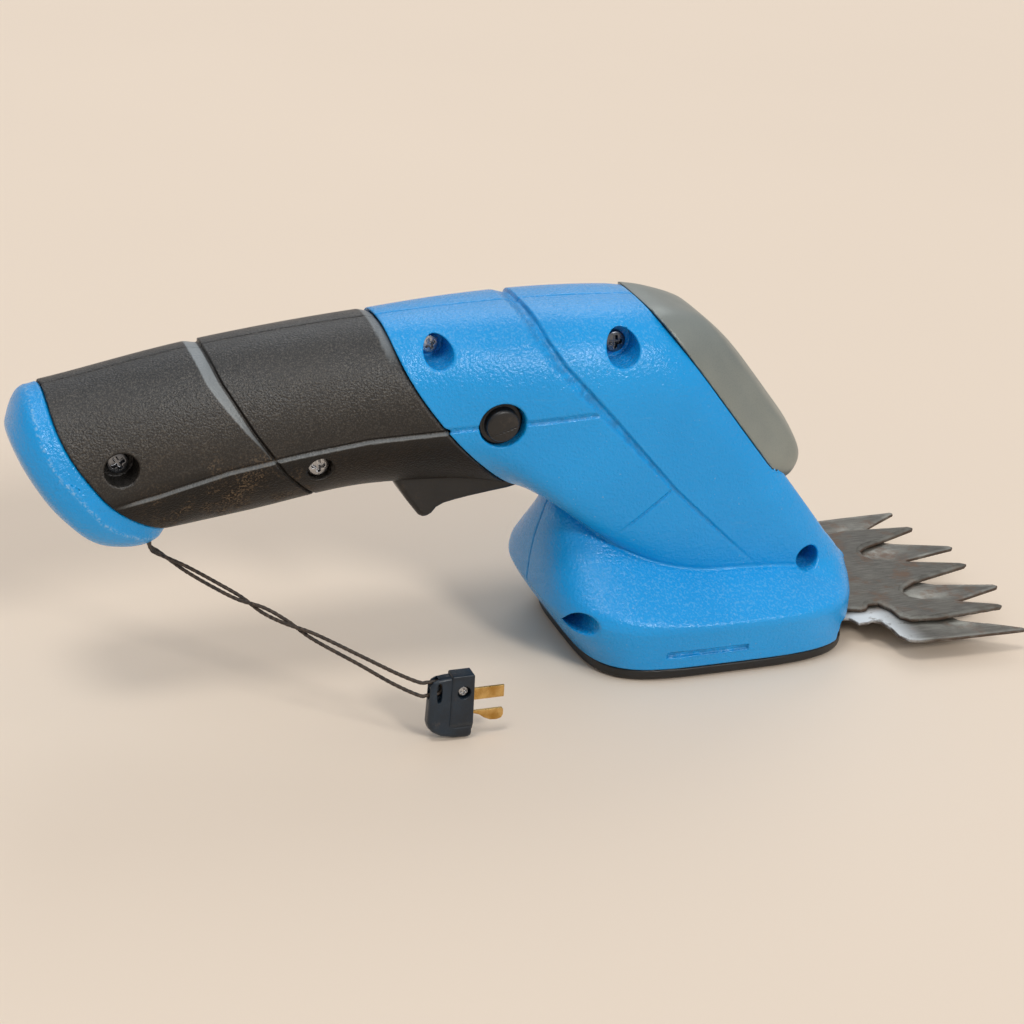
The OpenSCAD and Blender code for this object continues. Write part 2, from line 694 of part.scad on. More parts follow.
// Sole plate with four posts that carry the gear base
sole_inset = 0.6;
function sole_outline(inset) =
    [for (p = rim_ring(0, inset)) [p[0], p[1]]];
module sole_plate() {
    color("black") difference() {
        union() {
            linear_extrude(sole_t) polygon(sole_outline(sole_inset));
            at_each(sole_post_places) cylinder(r = sole_post_r, h = base_z);
        }
        at_each(sole_post_places) cylinder(r = sole_screw_r + fit, h = 2 * base_z);
        at_each(sole_post_places) cylinder(r = sole_head_r + seat, h = sole_head_t + sole_sink);
    }
}
sole_sink = 0.4;
module sole_screws() {
    color("silver") at_each(sole_post_places) translate([0, 0, sole_sink]) {
        cylinder(r = sole_head_r, h = sole_head_t);
        cylinder(r = sole_screw_r, h = sole_screw_len);
    }
}
module head_screws() {
    color("silver") for (i = [0 : 3]) screw(head_screw_places[i], head_seats[i]);
}
module grip_screws() {
    color("silver") for (i = [0, 1]) screw(grip_screw_places[i], grip_seats[i]);
}

// Gear base: carries the blades below and the gear train above
pivot_boss_r = 7;
pivot_boss_gap = 0.15;
blade_screw_back = 7;
blade_screw_y = 13.5;
blade_screw_places = [for (s = [-1, 1]) [pivot_x - blade_screw_back, s * blade_screw_y]];
blade_screw_r = 1.5;
blade_spacer_r = 3;
function base_outline() = let (h = concat(base_rear_shares, base_front_shares),
        side = [for (q = h) [q[0] < 0 ? foot_rear * q[0] : foot_front * q[0], foot_w / 2 * q[1]]])
    concat(side, [for (i = [len(side) - 1 : -1 : 0]) [side[i][0], -side[i][1]]]);
module gear_base() {
    color("gray") difference() {
        union() {
            translate([0, 0, base_z]) linear_extrude(base_t) polygon(base_outline());
            translate([pivot_x, 0, upper_top + pivot_boss_gap])
                cylinder(r = pivot_boss_r, h = base_z - upper_top - pivot_boss_gap);
        }
        translate([pivot_x, 0, 0]) cylinder(r = pivot_d / 2, h = 2 * base_top);
        translate([cam_x, 0, 0]) cylinder(r = cam_disc_r + fit, h = 2 * base_top);
        translate([idler_x, idler_y, 0]) cylinder(r = idler_axle_r, h = 2 * base_top);
        at_each(sole_post_places) cylinder(r = sole_screw_r + fit, h = 2 * base_top);
        at_each(blade_screw_places) cylinder(r = blade_screw_r, h = 2 * base_top);
        at_each(post_places) cylinder(r = plate_screw_r, h = 2 * base_top);
    }
}
module gear_posts() {
    color("silver") difference() {
        at_each(post_places) translate([0, 0, base_top]) cylinder(r = post_r, h = plate_z - base_top);
        at_each(post_places) cylinder(r = plate_screw_r, h = 2 * plate_top);
    }
}
function plate_outline(grow) =
    let (x0 = rear_post_x - post_r - grow, x1 = post_places[2][0] + post_r + grow,
        y1 = head_w * plate_w_share + grow, y0 = rear_post_y + post_r + grow)
    [[x0, -y0], [idler_x - plate_step, -y1], [x1, -y1], [x1, y1], [idler_x - plate_step, y1], [x0, y0]];
plate_step = 8;
boss_hole_r = 4;
module motor_plate() {
    color("gray") difference() {
        translate([0, 0, plate_z]) linear_extrude(plate_t) polygon(plate_outline(0));
        translate([motor_x, 0, 0]) cylinder(r = boss_hole_r, h = 2 * plate_top);
        translate([cam_x, 0, 0]) cylinder(r = cam_shaft_r + fit, h = 2 * plate_top);
        translate([idler_x, idler_y, 0]) cylinder(r = idler_axle_r, h = 2 * plate_top);
        at_each(post_places) cylinder(r = plate_screw_r, h = 2 * plate_top);
    }
}
module plate_screws() {
    color("silver") at_each(post_places) {
        translate([0, 0, plate_top]) cylinder(r = plate_head_r, h = plate_head_t);
        translate([0, 0, base_z]) cylinder(r = plate_screw_r, h = plate_top - base_z);
    }
}

// Motor
can_wall = 1;
bell_h = 5;
bearing_r = shaft_d / 2 + fit;
air_gap = 2;
armature_r = motor_d / 2 - can_wall - air_gap;
armature_end = 4;
terminal_h = 2.5;
terminal_r = 1;
terminal_y_share = 0.32;
bell_top = plate_top + motor_len + bell_h;
module motor_can() {
    color("silver") translate([motor_x, 0, plate_top]) difference() {
        cylinder(d = motor_d, h = motor_len);
        translate([0, 0, can_wall]) cylinder(d = motor_d - 2 * can_wall, h = motor_len);
        translate([0, 0, -over]) cylinder(r = bearing_r, h = motor_len);
    }
}
module motor_end_bell() {
    color("black") translate([motor_x, 0, plate_top + motor_len]) {
        difference() {
            cylinder(d = motor_d, h = bell_h);
            translate([0, 0, -over]) cylinder(r = bearing_r, h = bell_h + 2 * over);
        }
        for (s = [-1, 1]) translate([0, s * motor_d * terminal_y_share, bell_h])
            cylinder(r = terminal_r, h = terminal_h);
    }
}
module motor_rotor() {
    color("gray") translate([motor_x, 0, 0]) {
        translate([0, 0, fast_z]) cylinder(d = shaft_d, h = bell_top - fast_z);
        translate([0, 0, plate_top + can_wall + armature_end])
            cylinder(r = armature_r, h = motor_len - can_wall - 2 * armature_end);
    }
}
module motor_pinion() {
    color("goldenrod") translate([motor_x, 0, fast_z])
        rotate(fast_angle + 180 + fast_phase) gear(fast_module, motor_teeth, fast_t + mesh_gap, shaft_d / 2);
}
module idler_gear() {
    color("ivory") translate([idler_x, idler_y, 0]) {
        translate([0, 0, slow_z]) rotate(slow_angle + 180 + 180 / idler_pinion_teeth)
            gear(slow_module, idler_pinion_teeth, fast_z - slow_z, idler_axle_r + fit);
        translate([0, 0, fast_z]) rotate(fast_angle)
            gear(fast_module, idler_wheel_teeth, fast_t, idler_axle_r + fit);
        translate([0, 0, fast_z + fast_t]) difference() {
            cylinder(r = hub_r, h = plate_lift - seat);
            translate([0, 0, -over]) cylinder(r = idler_axle_r + fit, h = plate_lift + 2 * over);
        }
    }
}
hub_r = 3.2;
// Half a pitch, so that a tooth meets a gap
fast_phase = 180 / motor_teeth;
module idler_axle() {
    color("silver") translate([idler_x, idler_y, base_z]) cylinder(r = idler_axle_r, h = plate_top - base_z);
}
module cam_gear() {
    color("ivory") translate([cam_x, 0, 0]) {
        translate([0, 0, slow_z]) rotate(slow_angle) gear(slow_module, cam_teeth, slow_t, 0);
        translate([0, 0, slow_z + slow_t]) cylinder(r = cam_shaft_r, h = plate_top - slow_z - slow_t);
        translate([0, 0, base_z]) cylinder(r = cam_disc_r, h = slow_z - base_z);
        translate([-throw, 0, blade_z]) cylinder(d = pin_d, h = base_z - blade_z);
    }
}

// Blade outlines, half of each, as shares of the reach ahead of the pivot and of the half width
lower_tooth_shares = [[0.17, 0.55], [0.19, 0.64], [0.235, 0.645], [0.265, 0.62], [0.295, 0.66], [0.31, 0.76],
    [0.31, 0.88], [0.335, 0.955], [0.38, 0.985], [0.58, 1.005], [0.89, 1.015], [0.9, 1], [0.895, 0.975],
    [0.76, 0.85], [0.66, 0.75], [0.635, 0.7], [0.635, 0.63], [0.655, 0.57], [0.74, 0.49], [0.985, 0.365],
    [1, 0.335], [0.985, 0.305], [0.72, 0.21], [0.65, 0.14], [0.632, 0.06], [0.63, 0]];
upper_tooth_shares = [[0.13, 0.4], [0.2, 0.47], [0.245, 0.5], [0.275, 0.49], [0.305, 0.43], [0.35, 0.43],
    [0.378, 0.53], [0.385, 0.66], [0.42, 0.72], [0.55, 0.745], [0.88, 0.7], [0.9, 0.67], [0.885, 0.64],
    [0.72, 0.53], [0.57, 0.44], [0.525, 0.38], [0.52, 0.31], [0.545, 0.245], [0.62, 0.18], [0.93, 0.035],
    [0.955, 0]];
lower_tail_back = 12;
lower_tail_share = 0.5;
tail_half = 8;
tail_reach = 33;
function fan(shares) =
    [for (q = shares) [pivot_x + blade_reach * q[0], blade_w / 2 * q[1]]];
function mirrored(side) =
    concat(side, [for (i = [len(side) - 1 : -1 : 0]) if (side[i][1] > 0) [side[i][0], -side[i][1]]]);
module lower_blade() {
    tail = [[pivot_x - lower_tail_back, blade_w / 2 * lower_tail_share]];
    color("lightgray") translate([0, 0, blade_z]) linear_extrude(blade_t) difference() {
        polygon(mirrored(concat(tail, fan(lower_tooth_shares))));
        translate([pivot_x, 0]) circle(r = pivot_d / 2);
        for (p = blade_screw_places) translate(p) circle(r = blade_screw_r);
    }
}
module upper_blade() {
    disc_r = pivot_d / 2 + pivot_disc_rim;
    tail = concat([[pivot_x - tail_reach, tail_half]],
        [for (a = [hub_from : -hub_step : hub_to]) [pivot_x + disc_r * cos(a), disc_r * sin(a)]]);
    color("lightgray") translate([0, 0, upper_z]) linear_extrude(blade_t) difference() {
        polygon(mirrored(concat(tail, fan(upper_tooth_shares))));
        translate([pivot_x, 0]) circle(r = pivot_d / 2 + fit);
        translate([cam_x - throw - pin_d - yoke_half, -yoke_half])
            square([2 * throw + pin_d + 2 * yoke_half, 2 * yoke_half]);
    }
}
pivot_disc_rim = 7;
hub_from = 127;
hub_to = 67;
hub_step = 12;
module blade_pivot() {
    color("silver") translate([pivot_x, 0, 0]) {
        translate([0, 0, blade_z - pivot_head_t]) cylinder(r = pivot_head_r, h = pivot_head_t);
        translate([0, 0, blade_z]) cylinder(d = pivot_d, h = base_top - blade_z);
    }
}
pivot_head_r = 5;
pivot_head_t = 1.4;
module blade_spacers() {
    color("silver") difference() {
        at_each(blade_screw_places) translate([0, 0, blade_z + blade_t])
            cylinder(r = blade_spacer_r, h = base_z - blade_z - blade_t);
        at_each(blade_screw_places) cylinder(r = blade_screw_r, h = 2 * base_z);
    }
}
module blade_screws() {
    color("silver") at_each(blade_screw_places) {
        translate([0, 0, blade_z - blade_head_t]) cylinder(r = blade_head_r, h = blade_head_t);
        translate([0, 0, blade_z]) cylinder(r = blade_screw_r, h = base_top - blade_z);
    }
}
blade_head_r = 2.7;
blade_head_t = 1.4;

module trigger() {
    color("black") difference() {
        at([trigger_x, trigger_z]) rotate([90, 0, 0]) linear_extrude(trigger_w, center = true)
            polygon([for (q = trigger_shares) [q[0] * trigger_len, q[1] * trigger_drop]]);
        at([trigger_x, trigger_z]) bar_y(trigger_pin_r + fit, -trigger_w, trigger_w);
    }
}
module trigger_pin() {
    color("silver") at([trigger_x, trigger_z]) bar_y(trigger_pin_r, -pin_reach, pin_reach);
}
module trigger_spring() {
    color("silver") translate([plunger_x, 0, plunger_z]) difference() {
        cylinder(r = plunger_r + seat + spring_wall, h = plunger_len - over - seat);
        translate([0, 0, -over]) cylinder(r = plunger_r + seat, h = plunger_len + over);
    }
}
module switch_body() {
    color("black") difference() {
        translate([switch_x - switch_len / 2, -switch_w / 2, switch_z]) cube([switch_len, switch_w, switch_h]);
        translate([plunger_x, 0, switch_z - over]) cylinder(r = plunger_r + fit, h = 2 * over + plunger_room);
    }
}
plunger_room = 5;
module switch_plunger() {
    color("red") translate([plunger_x, 0, plunger_z]) cylinder(r = plunger_r, h = plunger_len);
}
module lock_button() {
    color("black") at([lock_x, lock_z]) translate([0, lock_y - lock_proud, 0]) rotate([-90, 0, 0])
        rotate_extrude() polygon(concat([[0, 0]],
            [for (a = [15 : 15 : 90]) [lock_d / 2 * sin(a), lock_dome * (1 - cos(a))]],
            [[lock_d / 2, lock_skirt], [lock_stem_r, lock_skirt], [lock_stem_r, lock_stem_len], [0, lock_stem_len]]));
}
lock_dome = 1.6;
lock_stem_len = lock_stem_end - lock_y + lock_proud;
module lock_spring() {
    color("silver") at([lock_x, lock_z]) difference() {
        bar_y(lock_stem_r + seat + spring_wall, lock_spring_y, lock_bore);
        bar_y(lock_stem_r + seat, lock_spring_y - over, 0);
    }
}
module battery_cells() {
    color("seagreen") in_pack() for (p = cell_places) {
        cell_round(p, cell_d / 2, cell_len);
        translate([cell_len / 2, p[0], p[1]]) rotate([0, 90, 0]) cylinder(r = nub_r, h = nub_h);
    }
}
module cell_straps() {
    color("silver") in_pack() {
        translate([cell_len / 2 + nub_h, -cell_pitch / 2 - strap_w / 2, -strap_w / 2])
            cube([strap_t, cell_pitch + strap_w, strap_w]);
        translate([-cell_len / 2 - strap_t, cell_places[1][0] - strap_w / 2, -strap_w / 2])
            cube([strap_t, strap_w, strap_w]);
        translate([-cell_len / 2 - strap_t, -strap_w / 2, cell_places[2][1] - strap_w / 2])
            cube([strap_t, strap_w, strap_w]);
    }
}

// Round wire or cord swept along a smooth line through a route
function route_point(r, i) = r[min(max(i, 0), len(r) - 1)];
function route_at(r, i, t) =
    let (a = route_point(r, i - 1), b = route_point(r, i), c = route_point(r, i + 1), d = route_point(r, i + 2))
    (2 * b + (c - a) * t + (2 * a - 5 * b + 4 * c - d) * t * t + (3 * b - a - 3 * c + d) * t * t * t) / 2;
function route_line(r, steps) = concat(
    [for (i = [0 : len(r) - 2]) for (k = [0 : steps[min(i, len(steps) - 1)] - 1])
        route_at(r, i, k / steps[min(i, len(steps) - 1)])],
    [r[len(r) - 1]]);
function unit(v) = v / norm(v);
function sweep_rings(p, r, sides) =
    [for (i = [0 : len(p) - 1])
        let (d = unit(p[min(i + 1, len(p) - 1)] - p[max(i - 1, 0)]),
            a = unit(cross(d, sweep_side)), b = cross(d, a))
        [for (k = [0 : sides - 1]) p[i] + r * (cos(k * 360 / sides) * a + sin(k * 360 / sides) * b)]];
sweep_side = [0.31, 0.87, 0.38];
module wire(route, r, sides, steps) { loft(sweep_rings(route_line(route, steps), r, sides)); }
wire_r = 0.8;
wire_sides = 6;
wire_steps = [3];
wire_lift = 6;
wire_gap = 0.1;
pack_front = [pack_x + (cell_len / 2 + nub_h + strap_t) * cos(pack_lean), 0,
    pack_z + (cell_len / 2 + nub_h + strap_t) * sin(pack_lean)];
switch_top = switch_z + switch_h + wire_r + wire_gap;
module battery_wires() {
    color("firebrick") for (s = [-1, 1]) {
        start = pack_front + [wire_r + wire_gap, s * strap_w / 2, 0];
        end = [switch_x - switch_len / 2 + over, s * switch_w / 4, switch_top];
        wire([start, start + [wire_lift / 2, 0, wire_lift / 2], (start + end) / 2 + [0, 0, wire_lift / 2],
            end], wire_r, wire_sides, wire_steps);
    }
}
// The motor's wires pass beside it, below the screws of the head
side_back_share = 0.3;
side_gap = 2.2;
side_drop = 3;
module motor_wires() {
    color("black") for (s = [-1, 1]) {
        start = [switch_x + switch_len / 2 - over, s * switch_w / 4, switch_top];
        side = [motor_x - motor_d * side_back_share, s * (motor_d / 2 + wire_r + side_gap), bell_top - side_drop];
        end = [motor_x, s * motor_d * terminal_y_share, bell_top + terminal_h + wire_r + wire_gap];
        wire([start, start + [wire_lift, 0, wire_lift / 2], side, end + [0, s * wire_lift / 2, 0], end],
            wire_r, wire_sides, wire_steps);
    }
}

module key_socket() {
    color("black") difference() {
        translate([socket_x - socket_len / 2, -socket_w / 2, socket_z]) cube([socket_len, socket_w, socket_h]);
        for (s = [-1, 1]) translate([socket_x + s * prong_pitch / 2, 0, socket_z - over]) {
            prong_slot(prong_h + 2 * prong_gap, prong_t + 2 * prong_gap + 2 * contact_t, prong_len + over + prong_gap);
        }
    }
}
module prong_slot(l, w, h) { translate([-l / 2, -w / 2, 0]) cube([l, w, h]); }
module socket_contacts() {
    color("goldenrod") for (s = [-1, 1]) for (k = [-1, 1])
        translate([socket_x + s * prong_pitch / 2 - prong_h / 2,
            k * (prong_t / 2 + prong_gap + contact_t / 2) - contact_t / 2, socket_z + over])
            cube([prong_h, contact_t, prong_len + prong_gap - over]);
}

// Safety key: stands on its edge on the floor, on the end of the lanyard
key_x = -88;
key_y = -47.2;
key_main_share = 0.44;
key_grip_t_share = 0.8;
grip_outline_shares = [[0, 0.28], [0.03, 0.2], [0.12, 0.13], [0.3, 0.06], [0.6, 0], [0.6, 0.97], [0.4, 0.97],
    [0.2, 0.955], [0.1, 0.92], [0.04, 0.84]];
main_outline_shares = [[0.46, 0], [0.97, 0], [0.99, 0.02], [1, 0.97], [0.97, 1], [0.5, 1], [0.48, 0.98],
    [0.44, 0.02]];
post_x_share = 0.18;
post_z_share = 0.8;
key_bend = 1.85;
key_post_r = key_bend - cord_d / 2 - fit;
eye = [key_x + key_len * post_x_share, key_y, key_h * post_z_share];
eye_slack = 0.4;
eye_r = key_bend + cord_d / 2 + eye_slack;
eye_w = cord_d + 2 * eye_slack;
prong_z_shares = [0.28, 0.635];
prong_tang = 4;
key_screw_share = [0.77, 0.73];
key_screw_r = 1.5;
key_screw_t = 0.9;
// Side outline of the key, drawn to a thickness
module key_plate(shares, t) {
    translate([key_x, key_y, 0]) rotate([90, 0, 0]) linear_extrude(t, center = true)
        polygon([for (q = shares) [q[0] * key_len, q[1] * key_h]]);
}
module key_body() {
    color("black") difference() {
        union() {
            key_plate(grip_outline_shares, key_t * key_grip_t_share);
            key_plate(main_outline_shares, key_t);
        }
        difference() {
            union() {
                translate(eye) bar_y(eye_r, -key_t, eye_w / 2);
                translate([key_x - over, key_y - eye_w / 2, eye[2] - eye_r])
                    cube([eye[0] - key_x + over, eye_w, 2 * eye_r]);
            }
            translate(eye) bar_y(key_post_r, -key_t, 2 * key_t);
        }
        for (q = prong_z_shares)
            translate([key_x + key_len - prong_tang, key_y - prong_t / 2, key_h * q - prong_h / 2])
                cube([prong_tang + over, prong_t, prong_h]);
        at([key_x + key_len * key_screw_share[0], key_h * key_screw_share[1]])
            bar_y(key_screw_r + fit, key_y - key_t, key_y - key_t / 2 + 2 * key_screw_t);
    }
}
module key_prongs() {
    color("goldenrod") for (q = prong_z_shares)
        translate([key_x + key_len - prong_tang, key_y, key_h * q]) rotate([90, 0, 0])
            linear_extrude(prong_t, center = true) {
                translate([0, -prong_h / 2]) square([prong_tang + prong_len - prong_h / 2, prong_h]);
                translate([prong_tang + prong_len - prong_h / 2, 0]) circle(d = prong_h);
            }
}
module key_screw() {
    color("silver") at([key_x + key_len * key_screw_share[0], key_h * key_screw_share[1]])
        bar_y(key_screw_r, key_y - key_t / 2 + key_screw_t, key_y - key_t / 2 + 2 * key_screw_t);
}

// Lanyard route: out of the cap, down to the key, round its post and back
out_route = [[-148, -0.8, 44], [-148, -0.8, 39.6], [-147.7, -1.2, 38.5], [-146.9, -1.9, 37.8],
    [-143.3, -4.6, 36.7], [-139.1, -7.4, 35.1], [-133, -12.3, 32.4], [-127.8, -15.6, 29.6],
    [-123.5, -20.2, 26.9], [-118.9, -25, 25.6], [-112.2, -29.6, 24], [-102.2, -37.8, 20.5],
    [-94.9, -43.8, 17.9], [-90, -47, 16.4], [-88, -47.2, 16.25]];
back_route = [[-88, -47.2, 12.55], [-90, -46.9, 12.7], [-95.7, -43.1, 14.8], [-102.8, -37.3, 18.1],
    [-112.6, -29.2, 22.4], [-117.9, -23.8, 25.6], [-123.1, -20.5, 28.3], [-128.8, -16.9, 29.5],
    [-133.5, -12.1, 30.9], [-139.4, -7, 33.6], [-142.9, -3.5, 35.6], [-145.9, -0.7, 37.6],
    [-147.4, 0.4, 38.4], [-148, 0.8, 39.6], [-148, 0.8, 44]];
bend_steps = 7;
bend_route = [for (k = [0 : bend_steps]) let (a = 90 - k * 180 / bend_steps)
    eye + key_bend * [cos(a), 0, sin(a)]];
cord_route = concat(out_route, bend_route, back_route);
cord_ends = [out_route[0], back_route[len(back_route) - 1]];
ring_step_share = 3;
cord_steps = [for (i = [0 : len(cord_route) - 2])
    max(1, floor(norm(cord_route[i + 1] - cord_route[i]) / (ring_step_share * cord_d)))];
cord_sides = 8;
module lanyard_cord() { color("black") wire(cord_route, cord_d / 2, cord_sides, cord_steps); }

right_head_shell();
left_head_shell();
right_grip_shell();
left_grip_shell();
end_cap();
nose_cover();
sole_plate();
sole_screws();
head_screws();
grip_screws();
gear_base();
gear_posts();
motor_plate();
plate_screws();
motor_can();
motor_end_bell();
motor_rotor();
motor_pinion();
idler_gear();
idler_axle();
cam_gear();
lower_blade();
upper_blade();
blade_pivot();
blade_spacers();
blade_screws();
trigger();
trigger_pin();
trigger_spring();
switch_body();
switch_plunger();
lock_button();
lock_spring();
battery_cells();
cell_straps();
battery_wires();
motor_wires();
key_socket();
socket_contacts();
key_body();
key_prongs();
key_screw();
lanyard_cord();
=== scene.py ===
import json
from math import cos, pi, radians, sin, tan
import bpy
import numpy as np
from mathutils import Matrix, Vector


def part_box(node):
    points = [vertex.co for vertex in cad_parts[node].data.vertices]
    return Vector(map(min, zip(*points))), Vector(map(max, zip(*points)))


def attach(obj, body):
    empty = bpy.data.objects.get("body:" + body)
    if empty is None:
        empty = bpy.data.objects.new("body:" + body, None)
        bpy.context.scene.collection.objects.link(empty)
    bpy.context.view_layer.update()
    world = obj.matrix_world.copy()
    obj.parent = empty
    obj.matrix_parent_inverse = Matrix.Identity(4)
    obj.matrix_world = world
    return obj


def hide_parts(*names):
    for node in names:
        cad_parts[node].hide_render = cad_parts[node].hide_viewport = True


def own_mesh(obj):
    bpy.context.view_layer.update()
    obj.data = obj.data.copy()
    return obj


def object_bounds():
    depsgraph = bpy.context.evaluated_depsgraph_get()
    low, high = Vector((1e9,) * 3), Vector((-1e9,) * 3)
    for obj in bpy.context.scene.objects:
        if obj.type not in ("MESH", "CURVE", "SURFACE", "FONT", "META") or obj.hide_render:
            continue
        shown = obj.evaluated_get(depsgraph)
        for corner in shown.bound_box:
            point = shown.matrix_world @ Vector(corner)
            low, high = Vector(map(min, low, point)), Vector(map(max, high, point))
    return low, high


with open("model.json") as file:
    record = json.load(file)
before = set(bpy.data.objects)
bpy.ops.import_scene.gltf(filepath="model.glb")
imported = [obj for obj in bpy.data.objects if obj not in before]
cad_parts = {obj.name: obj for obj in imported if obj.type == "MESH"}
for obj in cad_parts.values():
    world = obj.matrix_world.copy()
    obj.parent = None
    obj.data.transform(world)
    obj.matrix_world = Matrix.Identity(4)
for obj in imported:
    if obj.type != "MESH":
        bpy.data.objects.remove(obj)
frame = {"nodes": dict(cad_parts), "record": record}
cad_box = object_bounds()
scene = bpy.context.scene
MM = 0.001
least, most, hypot, clip = np.minimum, np.maximum, np.hypot, np.clip
ROUGH = 1.0

# Camera: its direction, the point it looks at and its distance from there
AZ, EL, ROLL = radians(-20.577), radians(24), radians(3)
AIM, FAR = Vector((-0.0501, 0, 0.0383)), 0.67194
LENS, SENSOR, CLIP_NEAR, CLIP_FAR = 88.59, 36, 0.05, 100
back = Vector((sin(AZ) * cos(EL), -cos(AZ) * cos(EL), sin(EL)))
level = Vector((cos(AZ), sin(AZ), 0))
upright = back.cross(level)
right = cos(ROLL) * level + sin(ROLL) * upright
up = -sin(ROLL) * level + cos(ROLL) * upright
cam_data = bpy.data.cameras.new("camera")
cam_data.lens, cam_data.sensor_width = LENS, SENSOR
cam_data.clip_start, cam_data.clip_end = CLIP_NEAR, CLIP_FAR
cam = bpy.data.objects.new("camera", cam_data)
scene.collection.objects.link(cam)
facing = Matrix((right, up, back)).transposed().to_4x4()
cam.matrix_world = Matrix.Translation(AIM + back * FAR) @ facing
scene.camera = cam
scene.view_settings.view_transform = "Standard"


class Tree:
    """Short way to build the nodes of a material or of the world."""

    def __init__(self, owner):
        owner.use_nodes = True
        self.t = owner.node_tree
        self.t.nodes.clear()

    def feed(self, socket, value):
        """Link another node's output to a socket, or set the socket's own value."""
        if isinstance(value, bpy.types.NodeSocket):
            self.t.links.new(value, socket)
        else:
            socket.default_value = value

    def add(self, kind, inputs=(), out=0, **props):
        """A new node's output. Inputs and the output go by name or number."""
        n = self.t.nodes.new(kind)
        for k, v in props.items():
            setattr(n, k, v)
        for k, v in dict(inputs).items():
            self.feed(n.inputs[k], v)
        return n.outputs[out]

    def end(self, kind, shader):
        self.feed(self.t.nodes.new(kind).inputs[0], shader)

    def math(self, op, a, b, clamp=False):
        return self.add("ShaderNodeMath", {0: a, 1: b}, operation=op, use_clamp=clamp)

    def times(self, a, b):
        return self.math("MULTIPLY", a, b)

    def ramp(self, fac, lo, hi, a=0.0, b=1.0):
        """Smooth step from a, where fac is lo, to b, where it is hi."""
        i = {"Value": fac, 1: lo, 2: hi, 3: a, 4: b}
        return self.add("ShaderNodeMapRange", i, clamp=True, interpolation_type="SMOOTHSTEP")

    def mix(self, fac, a, b):
        """Colour from a to b. The node's colour sockets are 6 and 7, and 2 on its far side."""
        a, b = [c if isinstance(c, bpy.types.NodeSocket) else (*c, 1) for c in (a, b)]
        return self.add("ShaderNodeMix", {0: fac, 6: a, 7: b}, out=2, data_type="RGBA")

    def over(self, c, amount, strength, colour):
        """Colour c with an sRGB colour laid over it, by amount times strength."""
        return self.mix(self.times(amount, strength), c, srgb(*colour))

    def noise(self, scale, detail=2.0, rough=0.55, warp=0.0, at=None):
        i = {"Scale": scale, "Detail": detail, "Roughness": rough, "Distortion": warp}
        i["Vector"] = at if at is not None else self.place
        return self.add("ShaderNodeTexNoise", i)

    def cells(self, scale, feature="F1"):
        return self.add("ShaderNodeTexVoronoi", {"Scale": scale, "Vector": self.place}, feature=feature)

    def look(self, colour, rough, height, strength, distance, **more):
        """What a paint returns: colour, roughness, and bump of a height."""
        bump = self.add("ShaderNodeBump", {"Height": height, "Strength": strength, "Distance": distance})
        return {"Base_Color": colour, "Roughness": rough, "Normal": bump, **more}

    def stretched(self, x, y, z):
        return self.add("ShaderNodeMapping", {"Vector": self.place, "Scale": (x, y, z)})

    def attribute(self, name):
        return self.add("ShaderNodeAttribute", out="Fac", attribute_name=name)

    def axis(self, vector, name):
        return self.add("ShaderNodeSeparateXYZ", {"Vector": vector}, out=name)

    def upward(self):
        """How far the surface faces up, from -1 to 1."""
        return self.axis(self.add("ShaderNodeTexCoord", out="Normal"), "Z")


def material(name, paint, **fixed):
    """A Principled material: paint(tree) returns what is linked to it, and fixed sets its plain sockets."""
    m = bpy.data.materials.new(name)
    t = Tree(m)
    t.place = t.add("ShaderNodeTexCoord", out="Object")
    inputs = {k.replace("_", " "): v for k, v in {**fixed, **paint(t)}.items()}
    t.end("ShaderNodeOutputMaterial", t.add("ShaderNodeBsdfPrincipled", inputs))
    return m


def srgb(r, g, b):
    """Linear colour of one given in sRGB, from 0 to 255."""
    return tuple(((c / 255 + 0.055) / 1.055) ** 2.4 if c > 10 else c / 3294.6 for c in (r, g, b))


# Floor and light
FLOOR_COLOUR = srgb(237, 219, 199)
FLOOR_SHADE, FLOOR_SIZE, FLOOR_Z = 0.985, 60, -0.0004
SKY_LOW, SKY_HIGH, SKY_STRENGTH = (0.31, 0.30, 0.29), (0.62, 0.64, 0.68), 0.88


def paint_floor(t):
    shade = tuple(x * FLOOR_SHADE for x in FLOOR_COLOUR)
    return {"Base_Color": t.mix(t.ramp(t.noise(3.0, 3), 0.3, 0.7), shade, FLOOR_COLOUR)}


bpy.ops.mesh.primitive_plane_add(size=FLOOR_SIZE, location=(0, 0, FLOOR_Z))
floor = bpy.context.object
floor.name = "floor"
floor.data.materials.append(material("floor_paint", paint_floor, Roughness=0.9))

# The sky takes the floor's colour at the horizon, so no edge shows between them
world = bpy.data.worlds.new("studio")
scene.world = world
w = Tree(world)
high = w.axis(w.add("ShaderNodeTexCoord", out="Generated"), "Z")
sky = w.mix(w.ramp(high, -0.25, 0.9), SKY_LOW, SKY_HIGH)
shown = w.mix(w.ramp(high, 0.02, 0.12), FLOOR_COLOUR, sky)
w.end("ShaderNodeOutputWorld", w.add("ShaderNodeBackground", {"Color": shown, "Strength": SKY_STRENGTH}))


def sun(name, energy, toward, angle, colour):
    """A far light in the direction toward, which looks angle degrees wide."""
    d = bpy.data.lights.new(name, "SUN")
    d.energy, d.color, d.angle = energy, colour, radians(angle)
    o = bpy.data.objects.new(name, d)
    scene.collection.objects.link(o)
    o.rotation_mode = "QUATERNION"
    o.rotation_quaternion = Vector(toward).normalized().to_track_quat("Z", "Y")


sun("soft_light", 0.66, (-0.24, -0.2, 0.95), 16, (1, 0.985, 0.95))
sun("spark_light", 1.2, (0.27, -0.80, 0.53), 12, (1, 0.98, 0.94))
sun("rim_light", 0.36, (0.3, 0.72, 0.62), 30, (0.95, 0.98, 1))

